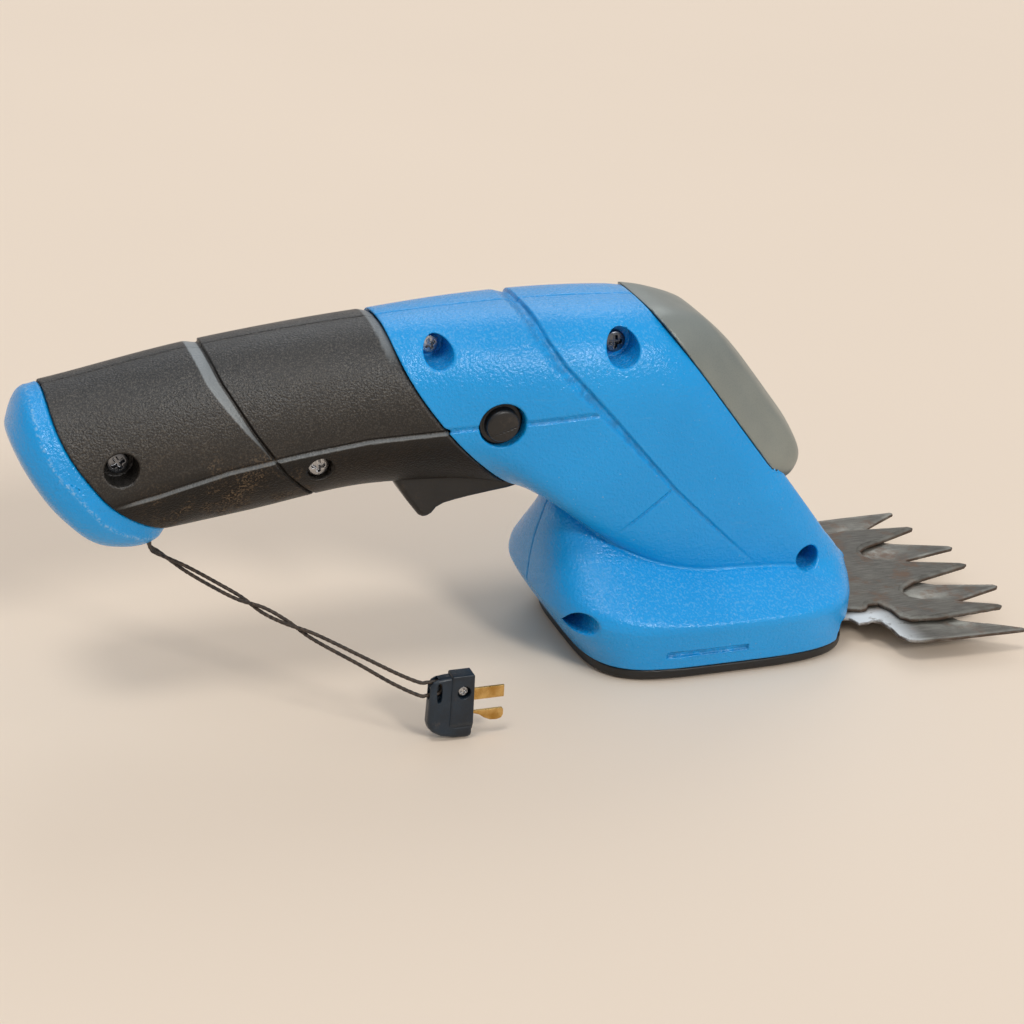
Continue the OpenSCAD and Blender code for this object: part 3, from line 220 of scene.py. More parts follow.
# Outlines and sizes of the part, in millimetres, as in its solids. A station is a plane across the handle that
# leans back by the rake, and is named by its x at the height MID.
RAKE, MID = tan(radians(52)), 70
CAP_END, CAP_SEAM, GRIP_SEAM, HEAD_END = -185, -163, -69, 5
HEAD_REAR, GRIP_FRONT, GRIP_REAR, GRIP_EDGE = -68.9, -69.2, -162.5, -69.15
COVER_START, COVER_LONG, COVER_POWER, COVER_PLAY = 1.8, 16.2, 4.4, 0.15
GRIP_WIDE, HEAD_WIDER = 37, 11
HEAD_FLOOR, CAP_FLOOR, COVER_FLOOR = -2, -177, 14.5  # where the hollows inside end
INSET = 0.2  # end faces lie this far inside the ends of the curves, where the distances have a kink
WALL = 2.2
CURVE_POINTS, DELTA = 2401, 0.02


def curve(rows):
    """Smooth line through rows of a place and a value."""
    t = np.array(rows, float)
    u, v = t[:, 0], t[:, 1]
    i = np.arange(len(u))
    a, b = most(i - 1, 0), least(i + 1, len(u) - 1)
    m = (v[b] - v[a]) / (u[b] - u[a])
    fine = np.linspace(u[0], u[-1], CURVE_POINTS)
    k = clip(np.searchsorted(u, fine, side="right") - 1, 0, len(u) - 2)
    h = u[k + 1] - u[k]
    q = (fine - u[k]) / h
    val = (v[k] * (1 + 2 * q) * (1 - q) ** 2 + h * m[k] * q * (1 - q) ** 2
           + v[k + 1] * q * q * (3 - 2 * q) + h * m[k + 1] * q * q * (q - 1))
    return lambda x: np.interp(x, fine, val)


# Handle and head by station, from 0 at the cap's end over 1 and 2 at the seams to 3 at the front
TOP = curve([
    [0, 62], [0.2, 72.5], [0.37, 76.8], [0.7, 82.5], [1, 85.2], [1.46, 92.2], [1.94, 96.7], [2.5, 98.8],
    [2.9, 98.2], [3, 97.2]])
BOTTOM = curve([
    [0, 48], [0.1, 43.7], [0.3, 41.8], [0.65, 41.8], [1, 45], [1.26, 47.8], [1.51, 51.3], [1.65, 52.1], [1.9, 50.7],
    [2.04, 47], [2.1, 42.4], [2.2, 30], [2.35, 15], [2.5, 9], [2.8, 9], [2.9, 11], [3, 19]])
CREASE = curve([[0, 55], [1, 60.5], [1.19, 65], [1.43, 68.1], [1.95, 72.7], [2.5, 74.3], [3, 74]])
MIX = curve([[0, 0], [1.4, 0], [2, 0.3], [2.3, 0.8], [2.6, 1], [3, 1]])
WIDTH = curve([
    [0, 0.62], [0.2, 0.8], [0.6, 0.9], [1, 0.92], [1.45, 0.98], [2, 1], [2.6, 1], [2.85, 0.97], [2.95, 0.88],
    [3, 0.78]])
UPPER = curve([[0, 2.2], [1, 2.3], [2, 2.5], [3, 2.9]])
LOWER = curve([[0, 2.2], [1, 1.9], [2, 1.9], [2.1, 2.4], [2.25, 4], [3, 4]])
BOW = curve([[0, 0], [1, 8], [1.45, 2.8], [2, 6], [2.5, 2.4], [3, 0]])
# Nose cover by station, from 3 to 4
C_TOP = curve([[3, 97.4], [3.4, 96.3], [3.8, 93.5], [4, 89.5]])
C_BOTTOM = curve([[3, 45.5], [3.4, 47.5], [3.75, 52], [4, 60]])
C_HALF = curve([[3, 21.12], [3.25, 19.68], [3.5, 17.76], [3.8, 15.36], [4, 12]])
# Foot by height
F_Z = [3.2, 14.04, 16.38, 20.02, 23.4, 26, 29.9]
F_RISE, F_REAR, F_FRONT, F_ROUND = [curve(list(zip(F_Z, v))) for v in (
    [0, 3, 5.1, 9.6, 13.5, 15, 15], [35.16, 44.5, 44.7, 43.6, 41.6, 40.05, 36.05],
    [43.12, 44, 43.56, 41.58, 38.28, 36.08, 31.68], [4, 3.5, 3.3, 2.8, 2.5, 2.5, 2.5])]
F_HALF = curve([
    [3.2, 33.4], [14.04, 36.1], [16.1, 36.3], [16.9, 36.0], [17.6, 35.2], [20.02, 31.7], [23.4, 26.4], [26, 22.14],
    [29.9, 17.06]])


def smin(a, b, k):
    """The lower of two distances, with the corner between them rounded over k."""
    h = clip(0.5 + 0.5 * (b - a) / k, 0, 1)
    return b * (1 - h) + a * h - k * h * (1 - h)


def smax(a, b, k):
    return -smin(-a, -b, k)


def ease(x, a, b):
    """Smooth step from 0 at a to 1 at b."""
    t = clip((x - a) / (b - a), 0, 1)
    return t * t * (3 - 2 * t)


def graded(fun, p):
    """What fun gives at p, and the steepness of each."""
    f = fun(p)
    g = [0.0] * len(f)
    for e in np.eye(3) * DELTA:
        g = [gi + ((a - b) / DELTA) ** 2 for gi, a, b in zip(g, fun(p + e), f)]
    return f, [np.sqrt(gi) + 1e-6 for gi in g]


def oval(a, b, n):
    """How far outside a rounded outline a point lies, from its shares of the two half sizes."""
    return (abs(a) ** n + abs(b) ** n) ** (1 / n) - 1


def station(x, z):
    return x - (MID - z) / RAKE


def place_of(s):
    return np.interp(s, [CAP_END, CAP_SEAM, GRIP_SEAM, HEAD_END], [0, 1, 2, 3])


def section(p):
    """How far points lie outside the cross-section, as a share of its size, and their stations."""
    x, y, z = p[:, 0], abs(p[:, 1]), p[:, 2]
    s0 = s = station(x, z)
    for _ in range(3):
        u = place_of(s)
        half = WIDTH(u) * (GRIP_WIDE + HEAD_WIDER * MIX(u)) / 2
        crease = CREASE(u)
        n = LOWER(u) + (UPPER(u) - LOWER(u)) * ease(z - crease, -1.5, 1.5)
        s = s0 + BOW(u) * clip(y / half, 0, 1) ** n
    h = np.where(z > crease, TOP(u) - crease, crease - BOTTOM(u))
    return oval(y / half, (z - crease) / h, n), s


def body(p):
    """Distance from the handle's and head's skin, station along it, and the station's steepness."""
    (q, s), (gq, gs) = graded(section, p)
    return q / gq, s, gs


def foot(p):
    """Distance from the foot's skin. Its layers h rise to the rear."""
    def raw(p):
        x, y, z = p.T
        h = z
        for _ in range(9):
            h = 0.5 * (h + z - F_RISE(h) * clip(-x / F_REAR(h), 0, 1.2) ** 2)
        reach = np.where(x < 0, F_REAR(h), F_FRONT(h))
        return oval(x / reach, y / F_HALF(h), F_ROUND(h)), h

    (q, h), (gq, gh) = graded(raw, p)
    return smax(q / gq, (h - F_Z[-1] + INSET) / gh, 1)


def cover(p):
    """Distance from the nose cover's skin, station along it, and the station's steepness."""
    def raw(p):
        x, y, z = p.T
        s = station(x, z)
        u = clip(3 + (s - COVER_START) / COVER_LONG, 3, 4)
        h = np.where(z > MID, C_TOP(u) - MID, MID - C_BOTTOM(u))
        return oval(y / C_HALF(u), (z - MID) / h, COVER_POWER), s

    (q, s), (gq, gs) = graded(raw, p)
    return q / gq, s, gs


def box(p, lo, hi):
    """Signed distance from a box, by its nearest face."""
    lo, hi = np.array(lo, float), np.array(hi, float)
    return np.max(most(lo - p, p - hi), axis=1)


def across(p, points, along):
    """Signed distance from a line of x and z: along 0 gives Z by X, along 2 gives X by Z."""
    t = np.array(points, float)[:, ::1 - along]
    u, v = t[np.argsort(t[:, 0])].T
    c = p[:, along]
    steep = np.gradient(v, u)
    f = np.interp(c, u, v)
    f = np.where(c < u[0], v[0] + (c - u[0]) * steep[0], f)
    f = np.where(c > u[-1], v[-1] + (c - u[-1]) * steep[-1], f)
    m = np.interp(c, u, steep)
    return (p[:, 2 - along] - f) / np.sqrt(1 + m * m)


def groove(t, depth, before, after):
    """Depth at a distance t across a groove, by its widths before and after its line."""
    return depth * ease(np.where(t < 0, 1 + t / before, 1 - t / after), 0, 1)


# Lines on the skins, in x and z
HEAD_LINE = [
    [-54, 102.5], [-52.4, 98.7], [-50, 93], [-46.6, 87.7], [-33.8, 73.6], [-13.9, 51.3], [1.9, 35.9], [13.4, 25.2]]
HEAD_CREASE = [[-72, 71.9], [-53.7, 73.1], [-36.5, 74.1]]
SHORT_LINE = [[-27.2, 40.5], [-14, 51.9]]
GRIP_LINE = [[-134.6, 92], [-132.4, 86.7], [-125.2, 74.8], [-116.9, 62.8], [-111.4, 57]]
GRIP_CREASE = [
    [-163, 57.2], [-148.5, 60.3], [-131.3, 65.2], [-113.7, 68.3], [-96, 70.8], [-72, 71.9]]


def head_relief(p):
    """Depth of the lines and the slot in the blue head's skin."""
    x, y, z = p[:, 0], abs(p[:, 1]), p[:, 2]
    t = across(p, HEAD_LINE, 2)
    long = groove(t, 0.4 + 0.6 * ease(z, 40, 80), 1.0 + 2.4 * ease(z, 50, 92), 0.8 + 0.5 * ease(z, 50, 80))
    crease = groove(across(p, HEAD_CREASE, 0), 0.5, 0.8, 1.5) * (t < -0.2) * ease(-t, 0, 3)
    short = groove(across(p, SHORT_LINE, 0), 0.4, 0.7, 0.7) * ease(x, -30, -24) * (t < 0) * (z < 56) * (z > 36)
    slot = least(ease(x, -17.2, -16.4) * ease(-x, -6.6, -5.8), ease(z, 7.1, 7.7) * ease(-z, -9.3, -8.7))
    return np.max([long * ease(z, 23, 40), crease, short, 0.9 * slot * (y > 25)], axis=0)


def grip_lines(p, s, gs):
    """Distances from the grip's line, crease and front edge, and the width of the line's flank."""
    flank = 0.6 + 2.8 * ease(p[:, 2], 66, 88)
    return across(p, GRIP_LINE, 2), across(p, GRIP_CREASE, 0), (GRIP_EDGE - s) / gs, flank


def grip_relief(p, s, gs):
    """Depth of the lines in the grip's skin."""
    x, z = p[:, 0], p[:, 2]
    line, crease, edge, flank = grip_lines(p, s, gs)
    return np.max([groove(line, 0.9, flank, 0.6) * ease(z, 50.5, 54),
                   groove(crease, 0.7, 1.2, 0.6) * ease(x, -161, -151),
                   0.9 * clip(1 - edge / 1.8, 0, 1) * ease(z, 82, 92)], axis=0)


def grip_bands(p, s, gs):
    """How much of a point lies on the pale flank of a line in the grip, where a painted highlight goes."""
    x, z = p[:, 0], p[:, 2]
    line, crease, edge, flank = grip_lines(p, s, gs)
    return np.max([ease(line, -flank, 0.3 - flank) * ease(-line, 0.3, 0.6) * ease(z, 60, 82),
                   0.5 * ease(crease, -1.2, -0.9) * ease(-crease, 0.2, 0.45) * ease(x, -161, -151),
                   0.7 * ease(-edge, -1.9, -1.6) * ease(z, 88, 94)], axis=0)


# Room for the trigger and the blades, as two corners of a box
TRIGGER_ROOM = ([-88.5, -7.3, 29.6], [-45, 7.3, 63.5])
BLADE_ROOM = ([22, -28.3, -9], [60, 28.3, 8.8])
# Recesses: x, z, radius and the y of the seat
HEAD_SCREWS = [
    (-77.9, 91.5, 3.7, -7.5), (-29.89, 90.4, 4.51, -13.05), (-38.49, 16.38, 3.22, -10.05), (28.16, 26, 3.41, -12)]
GRIP_SCREWS = [(-157.83, 67.6, 4.2, -10.05), (-107.71, 63, 3.41, -12)]
LOCK = (-61.8, 72.8)
LOCK_HOLE = (*LOCK, 6.0, -13)
TUBE_WALL, NOWHERE = 1.3, 1e3


def recessed(f, outer, p, holes):
    """A shell with tubes round its recesses, and the recesses cut out."""
    x, y, z = p.T
    tube = np.full(len(x), NOWHERE)
    hole = np.full(len(x), NOWHERE)
    for hx, hz, r, seat in holes:
        c = hypot(x - hx, z - hz)
        tube = least(tube, most(c - r - TUBE_WALL, y - seat - TUBE_WALL))
        hole = least(hole, most(c - r, y - seat))
    return smax(most(least(f, tube), outer), -hole, 0.7)


def head(p, plain):
    """The blue head, with recesses in its right side unless it is plain."""
    x, _, z = p.T
    d, s, gs = body(p)
    ft = foot(p)
    cd, cs, cg = cover(p)
    trunk = smax(smax(d, (s - HEAD_END + INSET) / gs, 1.0), (HEAD_REAR - s) / gs, 0.7)
    blend = 1.8 + 5 * ease(x, 22, 40)
    outer = smin(trunk, smax(ft, F_Z[0] - z, 0.8), blend) + head_relief(p)
    outer = outer + 0.4 * ease(1 - hypot(d, ft) / 1.4, 0, 1) * ease(-x, -40, -25)
    inner = smin(most(d + WALL, (s - HEAD_FLOOR) / gs), ft + WALL, 1.2)
    f = smax(outer, -inner, 0.4)
    if not plain:
        f = recessed(f, outer, p, [*HEAD_SCREWS, LOCK_HOLE])
    f = smax(f, -most(cd - COVER_PLAY, (COVER_START - cs) / cg), 0.3)
    f = smax(f, -box(p, *TRIGGER_ROOM), 0.5)
    f = smax(f, -box(p, *BLADE_ROOM), 0.5)
    return f


socket_lo, socket_hi = [np.array(v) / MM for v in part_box("key_socket")]
SOCKET_PLAY, SOCKET_DROP = 0.3, [0, 0, 9]


def grip(p, plain):
    """The grip, plain or not as the head."""
    d, s, gs = body(p)
    outer = d + grip_relief(p, s, gs)
    f = smax(outer, -(d + WALL), 0.4)
    f = smax(f, (s - GRIP_FRONT) / gs, 0.6)
    f = smax(f, (GRIP_REAR - s) / gs, 0.6)
    if not plain:
        f = recessed(f, outer, p, GRIP_SCREWS)
    f = smax(f, -box(p, *TRIGGER_ROOM), 0.5)
    f = smax(f, -box(p, socket_lo - SOCKET_PLAY - SOCKET_DROP, socket_hi + SOCKET_PLAY), 0.4)
    return f


CAP_BAND, CAP_SWELL = 2.8, 0.7
CORD_X, CORD_Y, CORD_HOLE, CORD_HOLE_TOP = -148, 0.8, 0.56, 56


def cap(p):
    """End cap, slightly wider than the grip, with two holes for the cord."""
    x, y, z = p.T
    d, s, gs = body(p)
    d = d - CAP_SWELL * place_of(s)
    q = (CAP_SEAM - s) / gs
    outer = smax(d, (CAP_END + INSET - s) / gs, 1.6) + clip(1 - q / CAP_BAND, 0, 1)
    f = smax(outer, -most(d + WALL + 0.8, (CAP_FLOOR - s) / gs), 0.4)
    f = smax(f, -q, 0.6)
    for side in (-CORD_Y, CORD_Y):
        hole = hypot(x - CORD_X, y - side) - CORD_HOLE
        f = most(f, -most(hole, z - CORD_HOLE_TOP))
    return f


def nose(p):
    d, s, gs = cover(p)
    outer = smax(d, (s - COVER_START - COVER_LONG + INSET) / gs, 3)
    f = smax(outer, -most(d + WALL, (s - COVER_FLOOR) / gs), 0.4)
    return smax(f, (COVER_START + COVER_PLAY - s) / gs, 0.5)


def ring(p, rear, front, half, n):
    """Distance from a rounded outline in plan."""
    def raw(p):
        return (oval(p[:, 0] / np.where(p[:, 0] < 0, rear, front), p[:, 1] / half, n),)

    (q,), (g,) = graded(raw, p)
    return q / g


SOLE_POSTS = [(-28.04, 22.0), (25.52, 25.41)]
SOLE_THICK, SOLE_SEAT, POST_TOP = 3, 2.0, 9.0
POST_R, SOLE_RECESS, SOLE_BORE = 3.2, 2.9, 1.51


def sole(p):
    """Sole plate, with bored posts for its screws."""
    x, y, z = p.T
    f = smax(smax(ring(p, rear=34.56, front=42.52, half=32.8, n=4), z - SOLE_THICK, 0.4), -z, 1.2)
    for px, py in SOLE_POSTS:
        c = hypot(x - px, abs(y) - py)
        f = least(f, most(most(c - POST_R, z - POST_TOP), -z + 0.5))
        f = smax(f, -most(c - SOLE_RECESS, z - SOLE_SEAT), 0.4)
        f = most(f, SOLE_BORE - c)
    return f


def polygon(a, b, points):
    """Signed distance in a plane from a closed outline."""
    q = np.array(points, float)
    r = np.roll(q, -1, axis=0)
    d2 = np.full(len(a), 1e9)
    inside = np.zeros(len(a), bool)
    for (x0, y0), (x1, y1) in zip(q, r):
        ex, ey = x1 - x0, y1 - y0
        t = clip(((a - x0) * ex + (b - y0) * ey) / (ex * ex + ey * ey + 1e-12), 0, 1)
        d2 = least(d2, (a - x0 - t * ex) ** 2 + (b - y0 - t * ey) ** 2)
        hit = (y0 > b) != (y1 > b)
        inside ^= hit & (a < (b - y0) * ex / (ey if abs(ey) > 1e-12 else 1e-12) + x0)
    return np.where(inside, -1, 1) * np.sqrt(d2)


def laid(rows, start, size):
    """An outline given in shares of a size, laid out from a start point."""
    return [(start[0] + size[0] * a, start[1] + size[1] * b) for a, b in rows]


TRIGGER_PIN, TRIGGER_SIZE, TRIGGER_HALF, TRIGGER_BORE = (-50, 55), (37, 12.7), 6.7, 1.56
TRIGGER = laid([
    (-1, 0.2), (-0.95, -0.16), (-0.85, -0.62), (-0.765, -0.95), (-0.735, -1), (-0.7, -0.99), (-0.665, -0.93),
    (-0.635, -0.82), (-0.58, -0.74), (-0.5, -0.69), (-0.4, -0.64), (-0.25, -0.58), (-0.11, -0.53),
    (0.05, -0.42), (0.095, -0.3), (0.095, 0.2), (0.05, 0.28), (-0.05, 0.28)], TRIGGER_PIN, TRIGGER_SIZE)


def trigger(p):
    x, y, z = p.T
    f = smax(polygon(x, z, TRIGGER), abs(y) - TRIGGER_HALF, 1.6)
    return most(f, TRIGGER_BORE - hypot(x - TRIGGER_PIN[0], z - TRIGGER_PIN[1]))


def mirrored(side):
    """A closed outline from its half with y above zero."""
    return side + [(a, -b) for a, b in reversed(side) if b > 0]


# Blades: the pivot, the size that the teeth are shares of, and each blade's underside and top
PIVOT, FAN = (32, 0), (62, 40)
LOWER_Z, UPPER_Z = (5, 6.3), (6.45, 7.75)
LOWER_BORE, UPPER_BORE, PIVOT_EAR = 3, 3.06, 10
BLADE_SCREW, BLADE_SCREW_BORE = (25, 13.5), 1.5
FORK_REAR, FORK_FRONT, FORK_HALF = -4.42, 15.42, 3.42
LOWER_TEETH = [
    (0.17, 0.55), (0.19, 0.64), (0.235, 0.645), (0.265, 0.62), (0.295, 0.66), (0.31, 0.76), (0.31, 0.88),
    (0.335, 0.955), (0.38, 0.985), (0.58, 1.005), (0.89, 1.015), (0.9, 1), (0.895, 0.975), (0.76, 0.85),
    (0.66, 0.75), (0.635, 0.7), (0.635, 0.63), (0.655, 0.57), (0.74, 0.49), (0.985, 0.365), (1, 0.335),
    (0.985, 0.305), (0.72, 0.21), (0.65, 0.14), (0.632, 0.06), (0.63, 0)]
UPPER_TEETH = [
    (0.13, 0.4), (0.2, 0.47), (0.245, 0.5), (0.275, 0.49), (0.305, 0.43), (0.35, 0.43), (0.378, 0.53),
    (0.385, 0.66), (0.42, 0.72), (0.55, 0.745), (0.88, 0.7), (0.9, 0.67), (0.885, 0.64), (0.72, 0.53), (0.57, 0.44),
    (0.525, 0.38), (0.52, 0.31), (0.545, 0.245), (0.62, 0.18), (0.93, 0.035), (0.955, 0)]
HOLLOWS = [(69, 14.5), (72, 31)]
LOWER_BLADE = mirrored([(20, 20)] + laid(LOWER_TEETH, PIVOT, FAN))
EAR = [(PIVOT[0] + PIVOT_EAR * cos(radians(a)), PIVOT_EAR * sin(radians(a)))
       for a in range(127, 66, -12)]
UPPER_BLADE = mirrored([(-1, 8)] + EAR + laid(UPPER_TEETH, PIVOT, FAN))


def hollows(x, y, long, wide):
    """Soft spots, 1 in their middles, where the lower blade is ground hollow."""
    return sum(np.exp(-((x - a) ** 2 / long + (abs(y) - b) ** 2 / wide)) for a, b in HOLLOWS)


def chamfer(flat, rise, wide, tall):
    """Slope from wide inside an outline at the top down to tall below the top at the outline."""
    return (flat * tall + (rise + tall) * wide) / hypot(wide, tall)


def lower_blade(p):
    x, y, z = p.T
    low, top = LOWER_Z
    d = polygon(x, y, LOWER_BLADE)
    f = smax(smax(d, z - top + 0.45 * hollows(x, y, 60, 16), 0.25), low - z, 0.15)
    f = most(f, chamfer(d, low - z, 1.6, 0.6))
    f = most(f, LOWER_BORE - hypot(x - PIVOT[0], y))
    return most(f, BLADE_SCREW_BORE - hypot(x - BLADE_SCREW[0], abs(y) - BLADE_SCREW[1]))


def upper_blade(p):
    x, y, z = p.T
    low, top = UPPER_Z
    d = polygon(x, y, UPPER_BLADE)
    f = smax(smax(d, z - top, 0.15), low - z, 0.1)
    f = most(f, chamfer(d, z - top, 1.5, 0.55))
    f = most(f, UPPER_BORE - hypot(x - PIVOT[0], y))
    return most(f, -most(abs(y) - FORK_HALF, most(FORK_REAR - x, x - FORK_FRONT)))


LOCK_FACE, LOCK_R, LOCK_DISH_R, LOCK_STEM_R = -21.35, 5.74, 4.4, 2.4


def button(p):
    """Lock button: a collar, a dished face with a fine line in it, and a stem."""
    x, y, z = p.T
    x, y, z = x - LOCK[0], y - LOCK_FACE, z - LOCK[1]
    r = hypot(x, z)
    f = smax(r - LOCK_R, 1.6 - y, 0.4)
    f = smax(f, y - 5, 0.2)
    dish = 0.026 * r * r - 1.45 - y
    f = smin(f, most(smax(r - LOCK_DISH_R, dish, 0.9), y - 3), 0.3)
    f = f + groove(z + 1.4 - 0.3 * x, 0.16, 0.35, 0.35) * (r < 4.0) * (y < 0)
    return least(f, most(r - LOCK_STEM_R, most(y + LOCK_FACE + 5, 4 - y)))


def screw_field(r, t, shank, length):
    """A cross-head screw along Z: a head of radius r from 0 up to t, and a threaded shank below it."""
    def f(p):
        x, y, z = p.T
        q = hypot(x, y)
        f = smax(smax(q - r, z - t + 0.11 * t * (q / r) ** 2 * 2.2, 0.45), -z, 0.15)
        cross = least(most(abs(x) - 0.2 * r, abs(y) - 0.62 * r), most(abs(y) - 0.2 * r, abs(x) - 0.62 * r))
        f = smax(f, -most(cross + 0.35 * (t - z) * 0.4, t * 0.35 - z), 0.14)
        thread = 0.12 * abs(((z * 0.9 + np.arctan2(y, x) / (2 * pi)) % 1) - 0.5) * 2
        return least(f, most(q - shank + thread, most(z - 0.1, -length - z)))

    return f


# Safety key: its lower rear corner in x and its middle in y, its size in x and z, and its half thicknesses
KEY, KEY_SIZE = (-88.0, -47.2), (12, 18)
KEY_GRIP_HALF, KEY_MAIN_HALF = 1.76, 2.2
EYE_POST, EYE_WAY, EYE_HALF = 1.29, 2.75, 0.9
KEY_SCREW_R, KEY_SCREW_SEAT = 1.72, -0.4
PRONG_ROOT, PRONG_TIP, PRONG_Z, PRONG_HALF, PRONG_THICK = -80, -67.5, 11.43, 1.65, 0.4
GRIP_PLATE = [
    (0, 0.28), (0.03, 0.2), (0.12, 0.13), (0.3, 0.06), (0.6, 0.01), (0.9, 0), (0.97, 0.02), (0.99, 0.06),
    (0.99, 0.2), (0.6, 0.2), (0.6, 0.97), (0.4, 0.97), (0.2, 0.955), (0.1, 0.92), (0.04, 0.84)]
MAIN_PLATE = [(0.47, 0.12), (1, 0.12), (1, 0.97), (0.97, 1), (0.52, 1), (0.5, 0.98)]
EYE = (-85.84, 14.4)
KEY_SCREW = (-78.76, 13.14)


def key(p):
    """The key's grip and main plates, with a way for the cord round a post, and the screw's recess."""
    x, y, z = p[:, 0], p[:, 1] - KEY[1], p[:, 2]
    corner = (KEY[0], 0)
    f = smax(polygon(x, z, laid(GRIP_PLATE, corner, KEY_SIZE)), abs(y) - KEY_GRIP_HALF, 1.1)
    main = smax(polygon(x, z, laid(MAIN_PLATE, corner, KEY_SIZE)), abs(y) - KEY_MAIN_HALF, 0.6)
    main = smax(main, chamfer(2.16 - z, -y - KEY_MAIN_HALF, 2.4, 1.1), 0.15)
    f = least(f, main)
    ex, ez = x - EYE[0], z - EYE[1]
    r = hypot(ex, ez)
    way = most(most(abs(y) - EYE_HALF, r - EYE_WAY), EYE_POST - r)
    gate = most(most(abs(y) - EYE_HALF, abs(ez) - EYE_WAY), most(ex, EYE_POST - r))
    slit = most(hypot((ex - 0.7) * 2.6, most(abs(ez + 0.9) - 1.0, 0)) - 1.75, y)
    f = smax(f, -least(least(way, gate), slit), 0.15)
    recess = hypot(x - KEY_SCREW[0], z - KEY_SCREW[1]) - KEY_SCREW_R
    return smax(f, -most(recess, y - KEY_SCREW_SEAT), 0.25)


def prongs(p):
    """The key's two brass prongs: a flat bar above and a bent leaf below."""
    x, y, z = p[:, 0], abs(p[:, 1] - KEY[1]), p[:, 2]
    bar = most(abs(z - PRONG_Z) - PRONG_HALF, most(PRONG_ROOT - x, x - PRONG_TIP))
    leaf = polygon(x, z, [(-80, 5.9), (-75.4, 5.9), (-74, 5.4), (-72.6, 4.3), (-71, 3.55), (-69.2, 3.4), (-68, 3.7),
                          (-67.5, 4.6), (-67.5, 6.1), (-67.9, 6.69), (-80, 6.69)])
    return smax(least(bar, leaf), y - PRONG_THICK, 0.25)


TETRA = np.array([[1, -1, -1], [-1, -1, 1], [-1, 1, -1], [1, 1, 1]], float)


def sloped(fun, V, reach=0.05):
    """Value and gradient of fun, from four points round each point."""
    f = [fun(V + reach * k) for k in TETRA]
    return sum(f) / 4, sum(v[:, None] * k for v, k in zip(f, TETRA)) / (4 * reach)


def settled(fun, V, limit):
    """Points laid on the surface where fun is zero, and its normals there."""
    for _ in range(2):
        f, g = sloped(fun, V)
        V = V - (clip(f, -limit, limit) / most((g * g).sum(1), 0.2))[:, None] * g
    g = sloped(fun, V)[1]
    return V, g / most(np.linalg.norm(g, axis=1), 1e-9)[:, None]


def with_middles(face, middles, count):
    """A face's corners, with the middles of those sides that were split."""
    corners = []
    for a, b in zip(face, face[1:] + face[:1]):
        corners.append(a)
        middle = middles.get(min(a, b) * count + max(a, b))
        if middle is not None:
            corners.append(middle)
    return corners


def sides(F, count):
    """A number for each side of each face, the same from both faces that share it."""
    after = np.roll(F, -1, axis=1)
    return least(F, after) * count + most(F, after)


def refined(mesh, fun, near, bands):
    """The mesh with its quads split in four near lines and rims, once for each band's two reaches."""
    V, F, _ = mesh
    rest = []
    for to_line, to_rim in bands:
        skin, line, rim = near(V)
        pick = (skin & ((line < to_line) | (rim < to_rim)))[F].any(1)
        four, other = F[pick], F[~pick]
        first = len(V)
        keys, where = np.unique(sides(four, first), return_inverse=True)
        m = first + where.reshape(four.shape)
        centre = first + len(keys) + np.arange(len(four))
        split = np.concatenate([np.stack([four[:, i], m[:, i], centre, m[:, i - 1]], 1) for i in range(4)])
        mixed = np.isin(sides(other, first), keys).any(1)
        middles = dict(zip(keys.tolist(), range(first, first + len(keys))))
        rest = [with_middles(q, middles, first) for q in rest + other[mixed].tolist()]
        F = np.concatenate([other[~mixed], split])
        V = np.concatenate([V, V[keys // first] * 0.5 + V[keys % first] * 0.5, V[four].mean(1)])
    V, N = settled(fun, V, 0.2)
    return V, F, N, rest


def joined(F, count):
    """A number for each point, the same for all points of a connected part."""
    label = np.arange(count)
    while True:
        low = label[F].min(1)
        new = label.copy()
        for c in range(4):
            np.minimum.at(new, F[:, c], low)
        new = new[new]
        if (new == label).all():
            return label
        label = new


BLOCK, CHUNK, SPECK = 4, 300000, 60  # cells along a block, points worked on at a time, points in a speck


